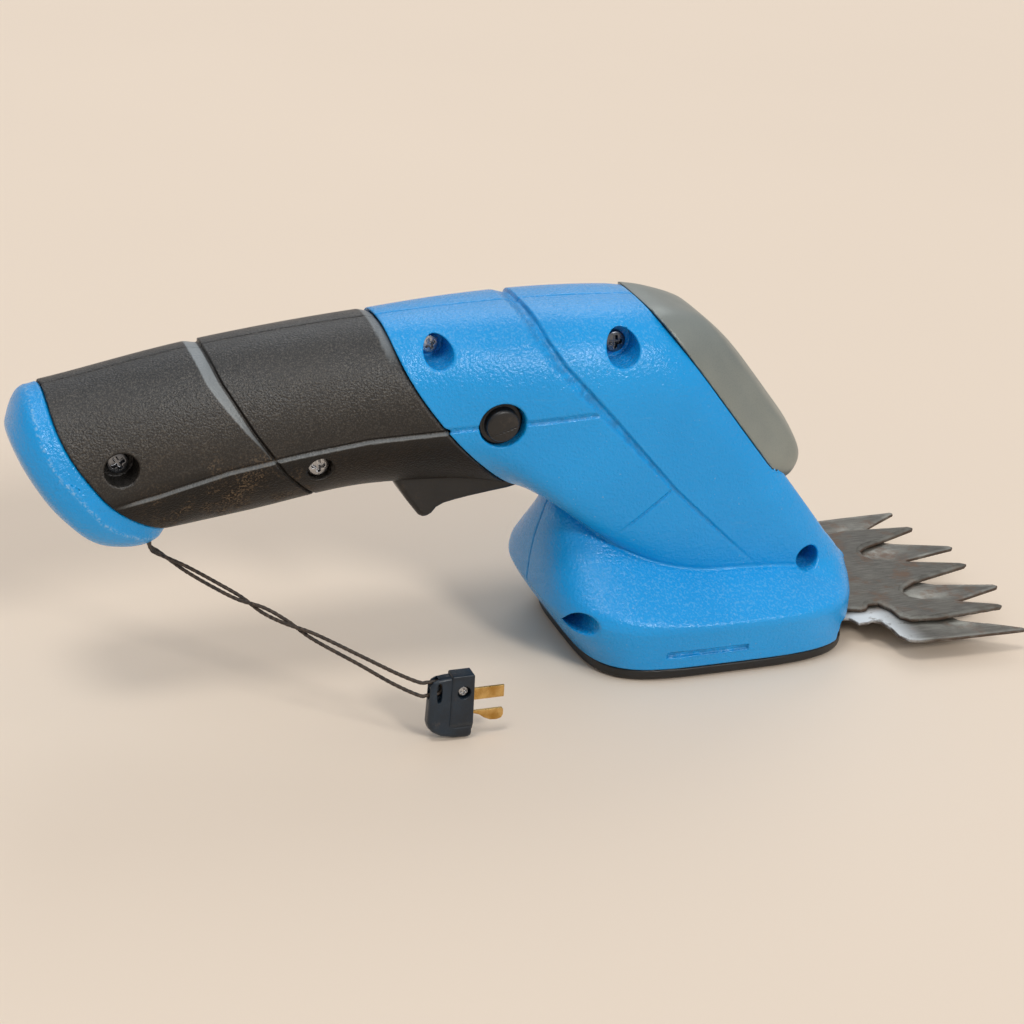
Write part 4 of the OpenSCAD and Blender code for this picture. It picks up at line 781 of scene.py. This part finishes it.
def nets(fun, lo, hi, h, settle=True):
    """Closed mesh of the surface where fun is zero, by a grid of step h: points, quads and normals."""
    h *= ROUGH
    lo, hi = np.array(lo, float), np.array(hi, float)
    # Only blocks of cells that may hold a part of the surface are worked out
    nb = np.ceil((hi - lo) / (BLOCK * h)).astype(int)
    ids = np.stack(np.meshgrid(*[np.arange(n) for n in nb], indexing="ij"), -1).reshape(-1, 3)
    mid = fun(lo + (ids + 0.5) * BLOCK * h)
    near = abs(mid) < BLOCK * h * 1.05 + 0.35
    G = np.ones(nb * BLOCK + 1)
    wanted = np.zeros(G.shape, bool)
    for i, v, n in zip(ids * BLOCK, mid, near):
        here = tuple(slice(c, c + BLOCK + 1) for c in i)
        if n:
            wanted[here] = True
        elif v < 0:
            G[here] = -1
    spots = np.argwhere(wanted)
    for part in np.array_split(spots, len(spots) // CHUNK + 1):
        G[tuple(part.T)] = fun(lo + part * h)
    # One point in each cell that the surface crosses, in the middle of where it crosses the cell's edges
    neg = G < 0
    corner = [(a, b, c) for a in (0, 1) for b in (0, 1) for c in (0, 1)]
    part = [neg[a:a + G.shape[0] - 1, b:b + G.shape[1] - 1, c:c + G.shape[2] - 1] for a, b, c in corner]
    count = sum(q.astype(np.int8) for q in part)
    cells = np.argwhere((count > 0) & (count < 8))
    number = np.full(count.shape, -1)
    number[tuple(cells.T)] = np.arange(len(cells))
    total, hits = np.zeros((len(cells), 3)), np.zeros(len(cells))
    for a, step in [(a, e) for a in corner for k, e in enumerate(np.eye(3, dtype=int)) if not a[k]]:
        ia = cells + a
        fa, fb = G[tuple(ia.T)], G[tuple((ia + step).T)]
        hit = (fa < 0) != (fb < 0)
        t = np.where(hit, fa / np.where(hit, fa - fb, 1), 0)
        total += np.where(hit[:, None], ia + t[:, None] * step, 0)
        hits += hit
    V = lo + total / hits[:, None] * h
    # One quad across each grid edge that the surface crosses
    quads = []
    for axis in range(3):
        j, k = (axis + 1) % 3, (axis + 2) % 3
        one, two = [slice(None)] * 3, [slice(None)] * 3
        one[axis], two[axis] = slice(0, -1), slice(1, None)
        a, b = neg[tuple(one)], neg[tuple(two)]
        e = np.argwhere(a != b)
        e = e[(e[:, j] > 0) & (e[:, k] > 0) & (e[:, j] < G.shape[j] - 1) & (e[:, k] < G.shape[k] - 1)]
        flip = b[tuple(e.T)]
        around = []
        for dj, dk in ((-1, -1), (0, -1), (0, 0), (-1, 0)):
            c = e.copy()
            c[:, j] += dj
            c[:, k] += dk
            around.append(number[tuple(c.T)])
        q = np.stack(around, 1)
        q[flip] = q[flip][:, ::-1]
        quads.append(q)
    F = np.concatenate(quads)
    V, N = settled(fun, V, h / 2) if settle else (V, V)
    label = joined(F, len(V))
    keep = np.bincount(label, minlength=len(V))[label] > SPECK
    index = np.cumsum(keep) - 1
    F = index[F[keep[F[:, 0]]]]
    return V[keep], F, N[keep]


def piece(name, mesh, node, slot, rides="housing", marks=None, mat=None):
    """A mesh that stands for a node, as an object on a body, trimmed to the CAD model's box."""
    V, F, N, *rest = mesh
    V = clip(V, *np.array([list(v) for v in cad_box]) / MM)
    me = bpy.data.meshes.new(name)
    me.from_pydata((V * MM).tolist(), [], F.tolist() + [q for part in rest for q in part])
    me.polygons.foreach_set("use_smooth", [True] * len(me.polygons))
    for k, v in (marks or {}).items():
        a = me.attributes.new(k, "FLOAT", "POINT")
        a.data.foreach_set("value", np.asarray(v, np.float32))
    if N is not None:
        me.normals_split_custom_set_from_vertices(N.tolist())
    o = bpy.data.objects.new(name, me)
    scene.collection.objects.link(o)
    me.materials.append(mat or FINISH[slot])
    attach(o, rides)
    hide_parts(node)
    return o


def moulded(name, fun, lo, hi, step, node, slot, rides="housing", marks=None, mat=None):
    """A piece from a distance and the corners of a box that holds it."""
    mesh = nets(fun, lo, hi, step)
    return piece(name, mesh, node, slot, rides, marks(mesh[0]) if marks else None, mat)


def flipped(mesh):
    V, F, N, *rest = mesh
    m = np.array([1, -1, 1])
    return V * m, F[:, ::-1], N * m, [q[::-1] for part in rest for q in part]


# Materials
def paint_blue(t):
    c = t.mix(t.ramp(t.noise(22, 4), 0.3, 0.72), srgb(4, 147, 219), srgb(12, 155, 229))
    bead = t.noise(1500, 2, 0.6)
    grain = t.math("ADD", bead, t.times(t.cells(1250, "SMOOTH_F1"), 0.5))
    # Darker blue in patches along the lines and inside the recesses: dirt, with painted shade where they lie in
    # shadow.
    dirt_and_shade = t.times(t.attribute("cav"), t.ramp(t.noise(420, 5, 0.65), 0.36, 0.62))
    c = t.over(c, dirt_and_shade, 0.35, (24, 70, 112))
    spots = t.ramp(t.noise(900, 3, 0.5), 0.70, 0.76)
    c = t.over(c, spots, 0.25, (150, 170, 180))
    scuff = t.ramp(t.noise(1, 3, 0.6, at=t.stretched(90, 260, 520)), 0.64, 0.72)
    c = t.over(c, scuff, 0.10, (95, 165, 210))
    # Painted highlight: a pale glinting line along the end cap's ridge, where the marks put the band.
    painted_glint = t.times(t.attribute("band"), t.ramp(t.noise(1500, 2), 0.42, 0.6))
    c = t.over(c, painted_glint, 0.4, (190, 222, 240))
    # Painted highlight: pale sparkles on the grain's tops where the skin faces up.
    painted_sparkle = t.times(t.ramp(bead, 0.48, 0.68), t.ramp(t.upward(), 0.35, 0.9))
    c = t.over(c, painted_sparkle, 0.2, (150, 208, 236))
    rough = t.math("ADD", t.ramp(t.noise(75, 4), 0.3, 0.75, 0.17, 0.25), t.times(dirt_and_shade, 0.2))
    return t.look(c, rough, grain, 0.65, 0.00034)


def paint_grip(t):
    c = t.mix(t.ramp(t.noise(30, 5), 0.32, 0.7), srgb(13, 13, 13), srgb(25, 23, 21))
    bead = t.noise(2300, 3, 0.6)
    grain = t.math("ADD", bead, t.times(t.cells(1900, "SMOOTH_F1"), 0.8))
    along, low = t.axis(t.place, "X"), t.axis(t.place, "Z")
    # Browner towards the bottom: dust, with a painted reflection of the brown ground below.
    brown = t.times(t.ramp(t.noise(48, 4), 0.3, 0.7), t.ramp(low, 0.088, 0.054, 0, 0.7))
    c = t.mix(brown, c, srgb(28, 20, 13))
    # Pale specks on the grain's tops where the grip faces up: dust, and a painted sheen.
    dust = t.times(t.ramp(bead, 0.45, 0.68), t.ramp(t.upward(), -0.25, 0.25))
    c = t.over(c, dust, 0.2, (150, 142, 130))
    patch = t.times(t.ramp(along, -0.157, -0.142), t.ramp(along, -0.1, -0.12, 0.12, 1))
    patch = t.times(patch, t.ramp(low, 0.076, 0.060))
    soil = t.times(t.ramp(t.noise(95, 6, 0.7), 0.46, 0.64), patch)
    speck = t.ramp(t.noise(1700, 2, 0.6), 0.50, 0.60)
    c = t.over(c, t.times(soil, speck), 0.5, (140, 118, 92))
    # Painted highlight on the pale flanks of the lines and on the front edge's bevel, where they face the light.
    c = t.over(c, t.attribute("band"), 0.85, (138, 144, 147))
    # Painted shade: a dark line at the bottoms of the grip's lines.
    c = t.over(c, t.attribute("cav"), 0.7, (16, 14, 13))
    rough = t.math("ADD", t.ramp(t.noise(60, 4), 0.3, 0.75, 0.34, 0.44), t.times(soil, 0.25))
    return t.look(c, rough, grain, 0.7, 0.00024, Specular_IOR_Level=t.ramp(t.upward(), -0.4, 0.25, 0.2, 0.65))


def paint_cover(t):
    c = t.mix(t.ramp(t.noise(35, 4), 0.3, 0.7), srgb(124, 132, 130), srgb(139, 145, 140))
    flake = t.ramp(t.cells(2600), 0.05, 0.5)
    c = t.over(c, flake, 0.18, (176, 176, 166))
    rough = t.ramp(t.noise(110, 4), 0.3, 0.75, 0.32, 0.44)
    return t.look(c, rough, t.noise(1700, 2), 0.10, 0.0002)


def paint_black(t):
    c = t.mix(t.ramp(t.noise(60, 5), 0.3, 0.72), srgb(18, 17, 17), srgb(30, 28, 27))
    dust = t.times(t.ramp(t.noise(150, 6, 0.7), 0.54, 0.72), 0.2)
    c = t.mix(dust, c, srgb(104, 88, 72))
    rough = t.math("ADD", t.ramp(t.noise(130, 4), 0.3, 0.75, 0.34, 0.48), t.times(dust, 0.4))
    return t.look(c, rough, t.noise(1300, 3), 0.2, 0.0003)


def paint_key(t):
    c = t.mix(t.ramp(t.noise(120, 4), 0.3, 0.72), srgb(9, 20, 30), srgb(22, 40, 55))
    dust = t.ramp(t.noise(260, 6, 0.7), 0.56, 0.72)
    c = t.over(c, dust, 0.3, (96, 84, 72))
    rough = t.ramp(t.noise(300, 4), 0.3, 0.75, 0.32, 0.46)
    return t.look(c, rough, t.noise(2200, 3), 0.25, 0.00025)


def paint_blade(t):
    stain = t.noise(70, 7, 0.68, 0.6)
    c = t.mix(t.ramp(stain, 0.32, 0.68), srgb(66, 62, 55), srgb(99, 95, 87))
    brush = t.noise(1, 3, 0.6, at=t.stretched(160, 2600, 400))
    c = t.over(c, t.ramp(brush, 0.4, 0.7), 0.25, (158, 154, 143))
    worn = t.ramp(t.noise(140, 5), 0.35, 0.62, 0.15, 0.75)
    bright = t.math("MAXIMUM", t.times(t.attribute("edge"), 0.6), t.attribute("pale"))
    c = t.mix(t.math("MULTIPLY", bright, worn, clamp=True), c, srgb(176, 174, 164))
    rust = t.times(t.ramp(t.noise(120, 8, 0.72), 0.50, 0.66), 0.6)
    c = t.mix(rust, c, srgb(116, 84, 60))
    pits = t.ramp(t.noise(600, 4, 0.7), 0.62, 0.72)
    c = t.over(c, pits, 0.5, (66, 56, 47))
    white = t.times(t.attribute("crust"), t.ramp(t.noise(260, 5, 0.6), 0.30, 0.46))
    c = t.over(c, white, 0.92, (226, 230, 231))
    rim = t.times(t.attribute("rim"), t.ramp(t.noise(300, 4), 0.3, 0.6, 0.4, 0.95))
    c = t.mix(rim, c, srgb(70, 52, 38))
    dull = t.math("MAXIMUM", t.math("MAXIMUM", rust, white), rim)
    rough = t.math("ADD", t.ramp(stain, 0.3, 0.75, 0.36, 0.55), t.times(dull, 0.35))
    metal = t.math("SUBTRACT", 0.75, t.times(dull, 0.72), clamp=True)
    h = t.math("ADD", t.noise(500, 6, 0.65), t.times(white, 0.8))
    return t.look(c, rough, h, 0.3, 0.0003, Metallic=metal)


def paint_simple(dark, pale, lo, hi, metal=False):
    """Metal or plastic between two colours and two roughnesses."""
    def paint(t):
        c = t.mix(t.ramp(t.noise(260 if metal else 180, 5), 0.3, 0.72), srgb(*dark), srgb(*pale))
        if metal:
            # Painted shade: dark blue on screws that sit deep in their recesses or under the sole.
            c = t.over(c, t.attribute("painted_shade"), 0.88, (30, 44, 62))
        wear = t.noise(1, 3, 0.6, at=t.stretched(2400, 2400, 180)) if metal else t.noise(360, 4)
        grain = t.noise(1800 if metal else 1500, 3)
        return t.look(c, t.ramp(wear, 0.3, 0.75, lo, hi), grain, 0.12, 0.0002, Metallic=float(metal))

    return paint


def paint_cord(t):
    c = t.mix(t.ramp(t.noise(900, 5, 0.7), 0.35, 0.65), srgb(38, 30, 24), srgb(78, 64, 52))
    # Painted shade between the twisted strands.
    c = t.over(c, t.attribute("cav"), 0.6, (20, 16, 13))
    return t.look(c, t.ramp(t.noise(1500, 3), 0.3, 0.7, 0.45, 0.65), t.noise(5200, 4), 0.35, 0.0001)


KEY_BLACK = material("key_black", paint_key)
FINISH = {"body_blue": material("body_blue_grained", paint_blue, Specular_IOR_Level=0.5),
          "grip_black": material("grip_black_grained", paint_grip),
          "cover_grey": material("cover_champagne", paint_cover, Metallic=0.45),
          "black_plastic": material("black_plastic_satin", paint_black),
          "blade_steel": material("blade_weathered", paint_blade),
          "cord": material("cord_twine", paint_cord)}
for slot, name, *finish in (
        ("steel", "steel_plated", (168, 168, 170), (205, 205, 206), 0.2, 0.36, True),
        ("brass", "brass_dull", (176, 132, 66), (222, 184, 118), 0.25, 0.42, True),
        ("gear_white", "gear_white_nylon", (214, 208, 190), (232, 228, 214), 0.4, 0.55),
        ("cell_wrap", "cell_wrap_green", (24, 96, 62), (36, 124, 80), 0.28, 0.4),
        ("wire_red", "wire_red_skin", (150, 24, 20), (178, 40, 34), 0.4, 0.55),
        ("wire_black", "wire_black_skin", (24, 24, 24), (46, 44, 42), 0.4, 0.55)):
    FINISH[slot] = material(name, paint_simple(*finish))

# Lanyard cord: out of the cap, round the key's post and back
OUT_ROUTE = [
    [-148, -0.8, 44], [-148, -0.8, 39.6], [-147.7, -1.2, 38.5], [-146.9, -1.9, 37.8], [-143.3, -4.6, 36.7],
    [-139.1, -7.4, 35.1], [-133, -12.3, 32.4], [-127.8, -15.6, 29.6], [-123.5, -20.2, 26.9], [-118.9, -25, 25.6],
    [-112.2, -29.6, 24], [-102.2, -37.8, 20.5], [-94.9, -43.8, 17.9], [-90, -47, 16.4], [-88, -47.2, 16.25]]
BACK_ROUTE = [
    [-88, -47.2, 12.55], [-90, -46.9, 12.7], [-95.7, -43.1, 14.8], [-102.8, -37.3, 18.1], [-112.6, -29.2, 22.4],
    [-117.9, -23.8, 25.6], [-123.1, -20.5, 28.3], [-128.8, -16.9, 29.5], [-133.5, -12.1, 30.9], [-139.4, -7, 33.6],
    [-142.9, -3.5, 35.6], [-145.9, -0.7, 37.6], [-147.4, 0.4, 38.4], [-148, 0.8, 39.6], [-148, 0.8, 44]]
BEND_R, BEND_STEPS = 1.85, 7
BEND = [[EYE[0] + BEND_R * cos(a), KEY[1], EYE[1] + BEND_R * sin(a)]
        for a in [pi / 2 - k * pi / BEND_STEPS for k in range(BEND_STEPS + 1)]]


def smooth_route(r, step):
    """A smooth line through the points r, with a point about every step."""
    q = np.concatenate([r[:1], r, r[-1:]])
    line = []
    for i in range(len(r) - 1):
        a, b, c, d = q[i:i + 4]
        n = max(2, int(np.linalg.norm(c - b) / step))
        for t in np.arange(n) / n:
            line.append((2 * b + (c - a) * t + (2 * a - 5 * b + 4 * c - d) * t * t
                         + (3 * b - a - 3 * c + d) * t ** 3) / 2)
    return np.array(line + [r[-1]])


def rope(line, radius, corners, pitch=1.0, lobes=0.0):
    """A closed tube along a line, of two twisted strands if it has lobes, and how deep each point lies."""
    d = np.gradient(line, axis=0)
    d /= np.linalg.norm(d, axis=1)[:, None]
    a = np.cross(d[0], [0.31, 0.87, 0.38])
    a /= np.linalg.norm(a)
    far = np.concatenate([[0], np.cumsum(np.linalg.norm(np.diff(line, axis=0), axis=1))])
    pts, deep = [], []
    for i, p in enumerate(line):
        a = a - d[i] * (a @ d[i])
        a /= np.linalg.norm(a)
        b = np.cross(d[i], a)
        for k in range(corners):
            f = k * 2 * pi / corners
            lobe = abs(cos(f - 2 * pi * far[i] / pitch))
            r = radius * (1 - lobes + lobes * lobe ** 0.8)
            pts.append(p + r * (cos(f) * a + sin(f) * b))
            deep.append(1 - lobe)
    last = (len(line) - 1) * corners
    quads = [(i + k, i + (k + 1) % corners, i + corners + (k + 1) % corners, i + corners + k)
             for i in range(0, last, corners) for k in range(corners)]
    ends = [tuple(range(corners - 1, -1, -1)), tuple(last + k for k in range(corners))]
    return (np.array(pts), np.array(quads), None, ends), deep


cord_line = smooth_route(np.array(OUT_ROUTE + BEND + BACK_ROUTE, float), step=0.28)
mesh, deep = rope(cord_line, radius=0.5, corners=14, pitch=3.2, lobes=0.16)
twine = piece("lanyard_twine", mesh, "lanyard_cord", "cord", marks={"cav": deep})

# Shells. The marks are values at the points that the materials read.
SKIN, BEHIND = -0.8, -1.8  # points deeper than this aren't on the outer skin, or aren't near it
AWAY = 9
HALF_GAP, HALF_ROUND = 0.1, 0.45  # where the halves meet


def head_marks(V):
    rel = head_relief(V)
    out = smin(body(V)[0], foot(V), 1.8) + rel > SKIN
    # cav: how deep a point lies in a line, and 0.6 off the outer skin, inside the recesses, where the blue paint
    # lays painted shade.
    return {"cav": most(clip(rel / 0.5, 0, 1) * out, ~out * 0.6)}


def grip_marks(V):
    d, s, gs = body(V)
    rel = grip_relief(V, s, gs)
    out = d + rel > SKIN
    # band: where the grip gets its painted highlight; cav: where it gets painted shade, at the bottoms of the lines.
    band = grip_bands(V, s, gs) * out
    cav = clip((rel - 0.55) / 0.3, 0, 1) * (1 - band) * out
    return {"cav": cav, "band": band}


def cap_marks(V):
    d, s, gs = body(V)
    # band: where the painted highlight goes, a thin line along the ridge of the cap's front band.
    return {"band": np.exp(-(((CAP_SEAM - s) / gs - CAP_BAND - 0.1) / 0.3) ** 2) * (d > -1)}


def near_holes(V, holes):
    """Distance from the rims of the recesses."""
    return np.min([abs(hypot(V[:, 0] - x, V[:, 2] - z) - r) for x, z, r, _ in holes], axis=0)


def head_near(V):
    """Which points of the head lie near its skin, and their distances from lines and from rims."""
    d, s, gs = body(V)
    cd, cs, cg = cover(V)
    t = across(V, HEAD_LINE, 2)
    c = np.where(t < 2, across(V, HEAD_CREASE, 0), AWAY)
    b = np.where((V[:, 0] > -30) & (V[:, 2] < 56) & (t < 2), across(V, SHORT_LINE, 0), AWAY)
    line = np.where(V[:, 2] > 22, np.min(np.abs([t, c, b]), axis=0), AWAY)
    rim = least(near_holes(V, [*HEAD_SCREWS, LOCK_HOLE]), abs(s - HEAD_REAR) / gs)
    rim = least(rim, hypot(least(cs / cg - COVER_START, 0), cd))
    return least(d, foot(V)) > BEHIND, line, rim


def grip_near(V):
    d, s, gs = body(V)
    line = least(abs(across(V, GRIP_LINE, 2)), abs(across(V, GRIP_CREASE, 0)))
    ends = least(abs(s - GRIP_FRONT), abs(s - GRIP_REAR)) / gs
    return d > BEHIND, line, least(near_holes(V, GRIP_SCREWS), ends)


def shell(side, name, field, lo, hi, step, near, bands, marks, slot):
    """Half of the head or the grip, with a finer mesh in its bands. The left half is a plain right one, mirrored."""
    left = side == "left"
    fun = lambda p: smax(field(p, left), p[:, 1] + HALF_GAP, HALF_ROUND)
    mesh = refined(nets(fun, lo, hi, step, settle=False), fun, near, bands)
    piece(f"{side}_{name}_skin", flipped(mesh) if left else mesh, f"{side}_{name}_shell", slot,
          marks=marks(mesh[0]))


for side in ("right", "left"):
    shell(side, "head", head, [-96, -38, 2], [47, 1, 101], 0.62, head_near, [(2.4, 1.0), (1.0, 0)], head_marks,
          "body_blue")
    shell(side, "grip", grip, [-186, -21, 44], [-56, 1, 99], 0.6, grip_near, [(3.9, 1.0), (1.0, 0)], grip_marks,
          "grip_black")
moulded("end_cap_skin", cap, [-186, -20, 40], [-140, 20, 88], 0.6, "end_cap", "body_blue", marks=cap_marks)
moulded("nose_cover_skin", nose, [-22, -22, 43], [42, 22, 99], 0.6, "nose_cover", "cover_grey")
moulded("sole_moulding", sole, [-36, -34, -1], [44, 34, 10], 0.6, "sole_plate", "black_plastic")

# Controls
moulded("trigger_lever", trigger, [-88.5, -7.5, 41], [-45, 7.5, 60], 0.42, "trigger", "black_plastic",
        rides="trigger")
moulded("lock_cap", button, [-68.5, -24, 66], [-55, -4, 79.5], 0.3, "lock_button", "black_plastic", rides="lock")

TURN_POINTS = 28


def spring(name, fixed, free, radius, wire, turns, node):
    """A wound spring from its fixed end to its free one."""
    fixed, free = np.array(fixed, float), np.array(free, float)
    along = free - fixed
    side = np.cross(along, [1, 0, 0]) / np.linalg.norm(along)
    t = np.linspace(0, 1, int(turns * TURN_POINTS) + 1)[:, None]
    a = t * turns * 2 * pi
    inset = wire / np.linalg.norm(along)
    line = fixed + along * (inset + (1 - 2 * inset) * t) + radius * (np.cos(a) * [1, 0, 0] + np.sin(a) * side)
    o = piece(name, rope(line, wire, corners=10)[0], node, "steel")
    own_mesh(o)


spring("trigger_coil", fixed=(-77.01, 0, 63.11), free=(-77.01, 0, 58.41), radius=2.12, wire=0.25, turns=2.5,
       node="trigger_spring")
spring("lock_coil", fixed=(-61.8, -12.96, 72.8), free=(-61.8, -17.86, 72.8), radius=3.0, wire=0.28, turns=3,
       node="lock_spring")


# Blades
def blade_marks(outline):
    def marks(V):
        x, y = V[:, 0], V[:, 1]
        d = polygon(x, y, outline)
        low = outline is LOWER_BLADE
        crust = low * ease(-y, 17, 22) * ease(-x, -60, -49) * ease(d, -11, -7)
        pale = low * hollows(x, y, 70, 22)
        return {"edge": ease(d, -1.9, -0.7), "rim": ease(d, -0.45, -0.1), "crust": crust, "pale": pale}

    return marks


moulded("lower_blade_ground", lower_blade, [18, -42, 4], [96, 42, 7.3], 0.36, "lower_blade", "blade_steel",
        marks=blade_marks(LOWER_BLADE))
moulded("upper_blade_ground", upper_blade, [-3, -31, 5.6], [93, 31, 8.7], 0.36, "upper_blade", "blade_steel",
        rides="cutter", marks=blade_marks(UPPER_BLADE))

# Screws, turned so that their heads face the right side or down
FACE_RIGHT = np.array([[1, 0, 0], [0, 0, 1], [0, -1, 0]], float)
FACE_DOWN = np.array([[1, 0, 0], [0, -1, 0], [0, 0, -1]], float)


def screws(name, spots, r, t, shank, length, face, node, dark):
    """Screws as one piece. A spot is x, y, z and a share of the width, and dark is how much painted shade darkens
    each.
    """
    lo, hi = np.array([-r, -r, -length]) - 0.6, np.array([r, r, t]) + 0.6
    V, F, N = nets(screw_field(r, t, shank, length), lo, hi, 0.17)
    vs, fs, ns = [], [], []
    for i, (*at, k) in enumerate(spots):
        a = 0.5 + i * 1.1
        spin = np.array([[cos(a), -sin(a), 0], [sin(a), cos(a), 0], [0, 0, 1]])
        vs.append(V * [k, k, 1] @ spin.T @ face + np.array(at, float))
        ns.append(N @ spin.T @ face)
        fs.append(F + i * len(V))
    mesh = np.concatenate(vs), np.concatenate(fs), np.concatenate(ns)
    piece(name, mesh, node, "steel", marks={"painted_shade": np.repeat(dark, len(V))})


FULL_RECESS = 4.5  # a head screw in a recess narrower than this is made slimmer
screws("head_screw_set", [(x, seat, z, min(1, r / FULL_RECESS)) for x, z, r, seat in HEAD_SCREWS],
       r=2.9, t=2.0, shank=1.4, length=20, face=FACE_RIGHT, node="head_screws", dark=[0, 0.85, 0.85, 0.85])
screws("grip_screw_set", [(x, seat, z, 1) for x, z, r, seat in GRIP_SCREWS],
       r=2.9, t=2.0, shank=1.4, length=19, face=FACE_RIGHT, node="grip_screws", dark=[0.7, 0])
screws("sole_screw_set", [(x, s * y, SOLE_SEAT, 1) for x, y in SOLE_POSTS for s in (-1, 1)],
       r=2.6, t=1.6, shank=1.45, length=14, face=FACE_DOWN, node="sole_screws", dark=[0.3] * 4)

# Key
KEY_SCREW_Y = -47.65
key_piece = moulded("key_grip", key, [-89, -50.2, -0.6], [-75, -44, 19], 0.22, "key_body", "black_plastic",
                    mat=KEY_BLACK)
prong_piece = moulded("key_blades", prongs, [-81, -48.2, 2.5], [-66.5, -46.2, 14], 0.16, "key_prongs", "brass")
V, F, N = nets(screw_field(r=1.45, t=0.85, shank=0.6, length=0.2), [-2, -2, -0.6], [2, 2, 1.3], 0.12)
V = V @ FACE_RIGHT + np.array([KEY_SCREW[0], KEY_SCREW_Y, KEY_SCREW[1]])
key_screw = piece("key_screw_head", (V, F, N @ FACE_RIGHT), "key_screw", "steel")

# Materials of the solids that show as they are
for row in frame["record"]["subparts"]:
    o = frame["nodes"][row["node"]]
    o.data.materials.clear()
    o.data.materials.append(FINISH[row["material_slot"]])
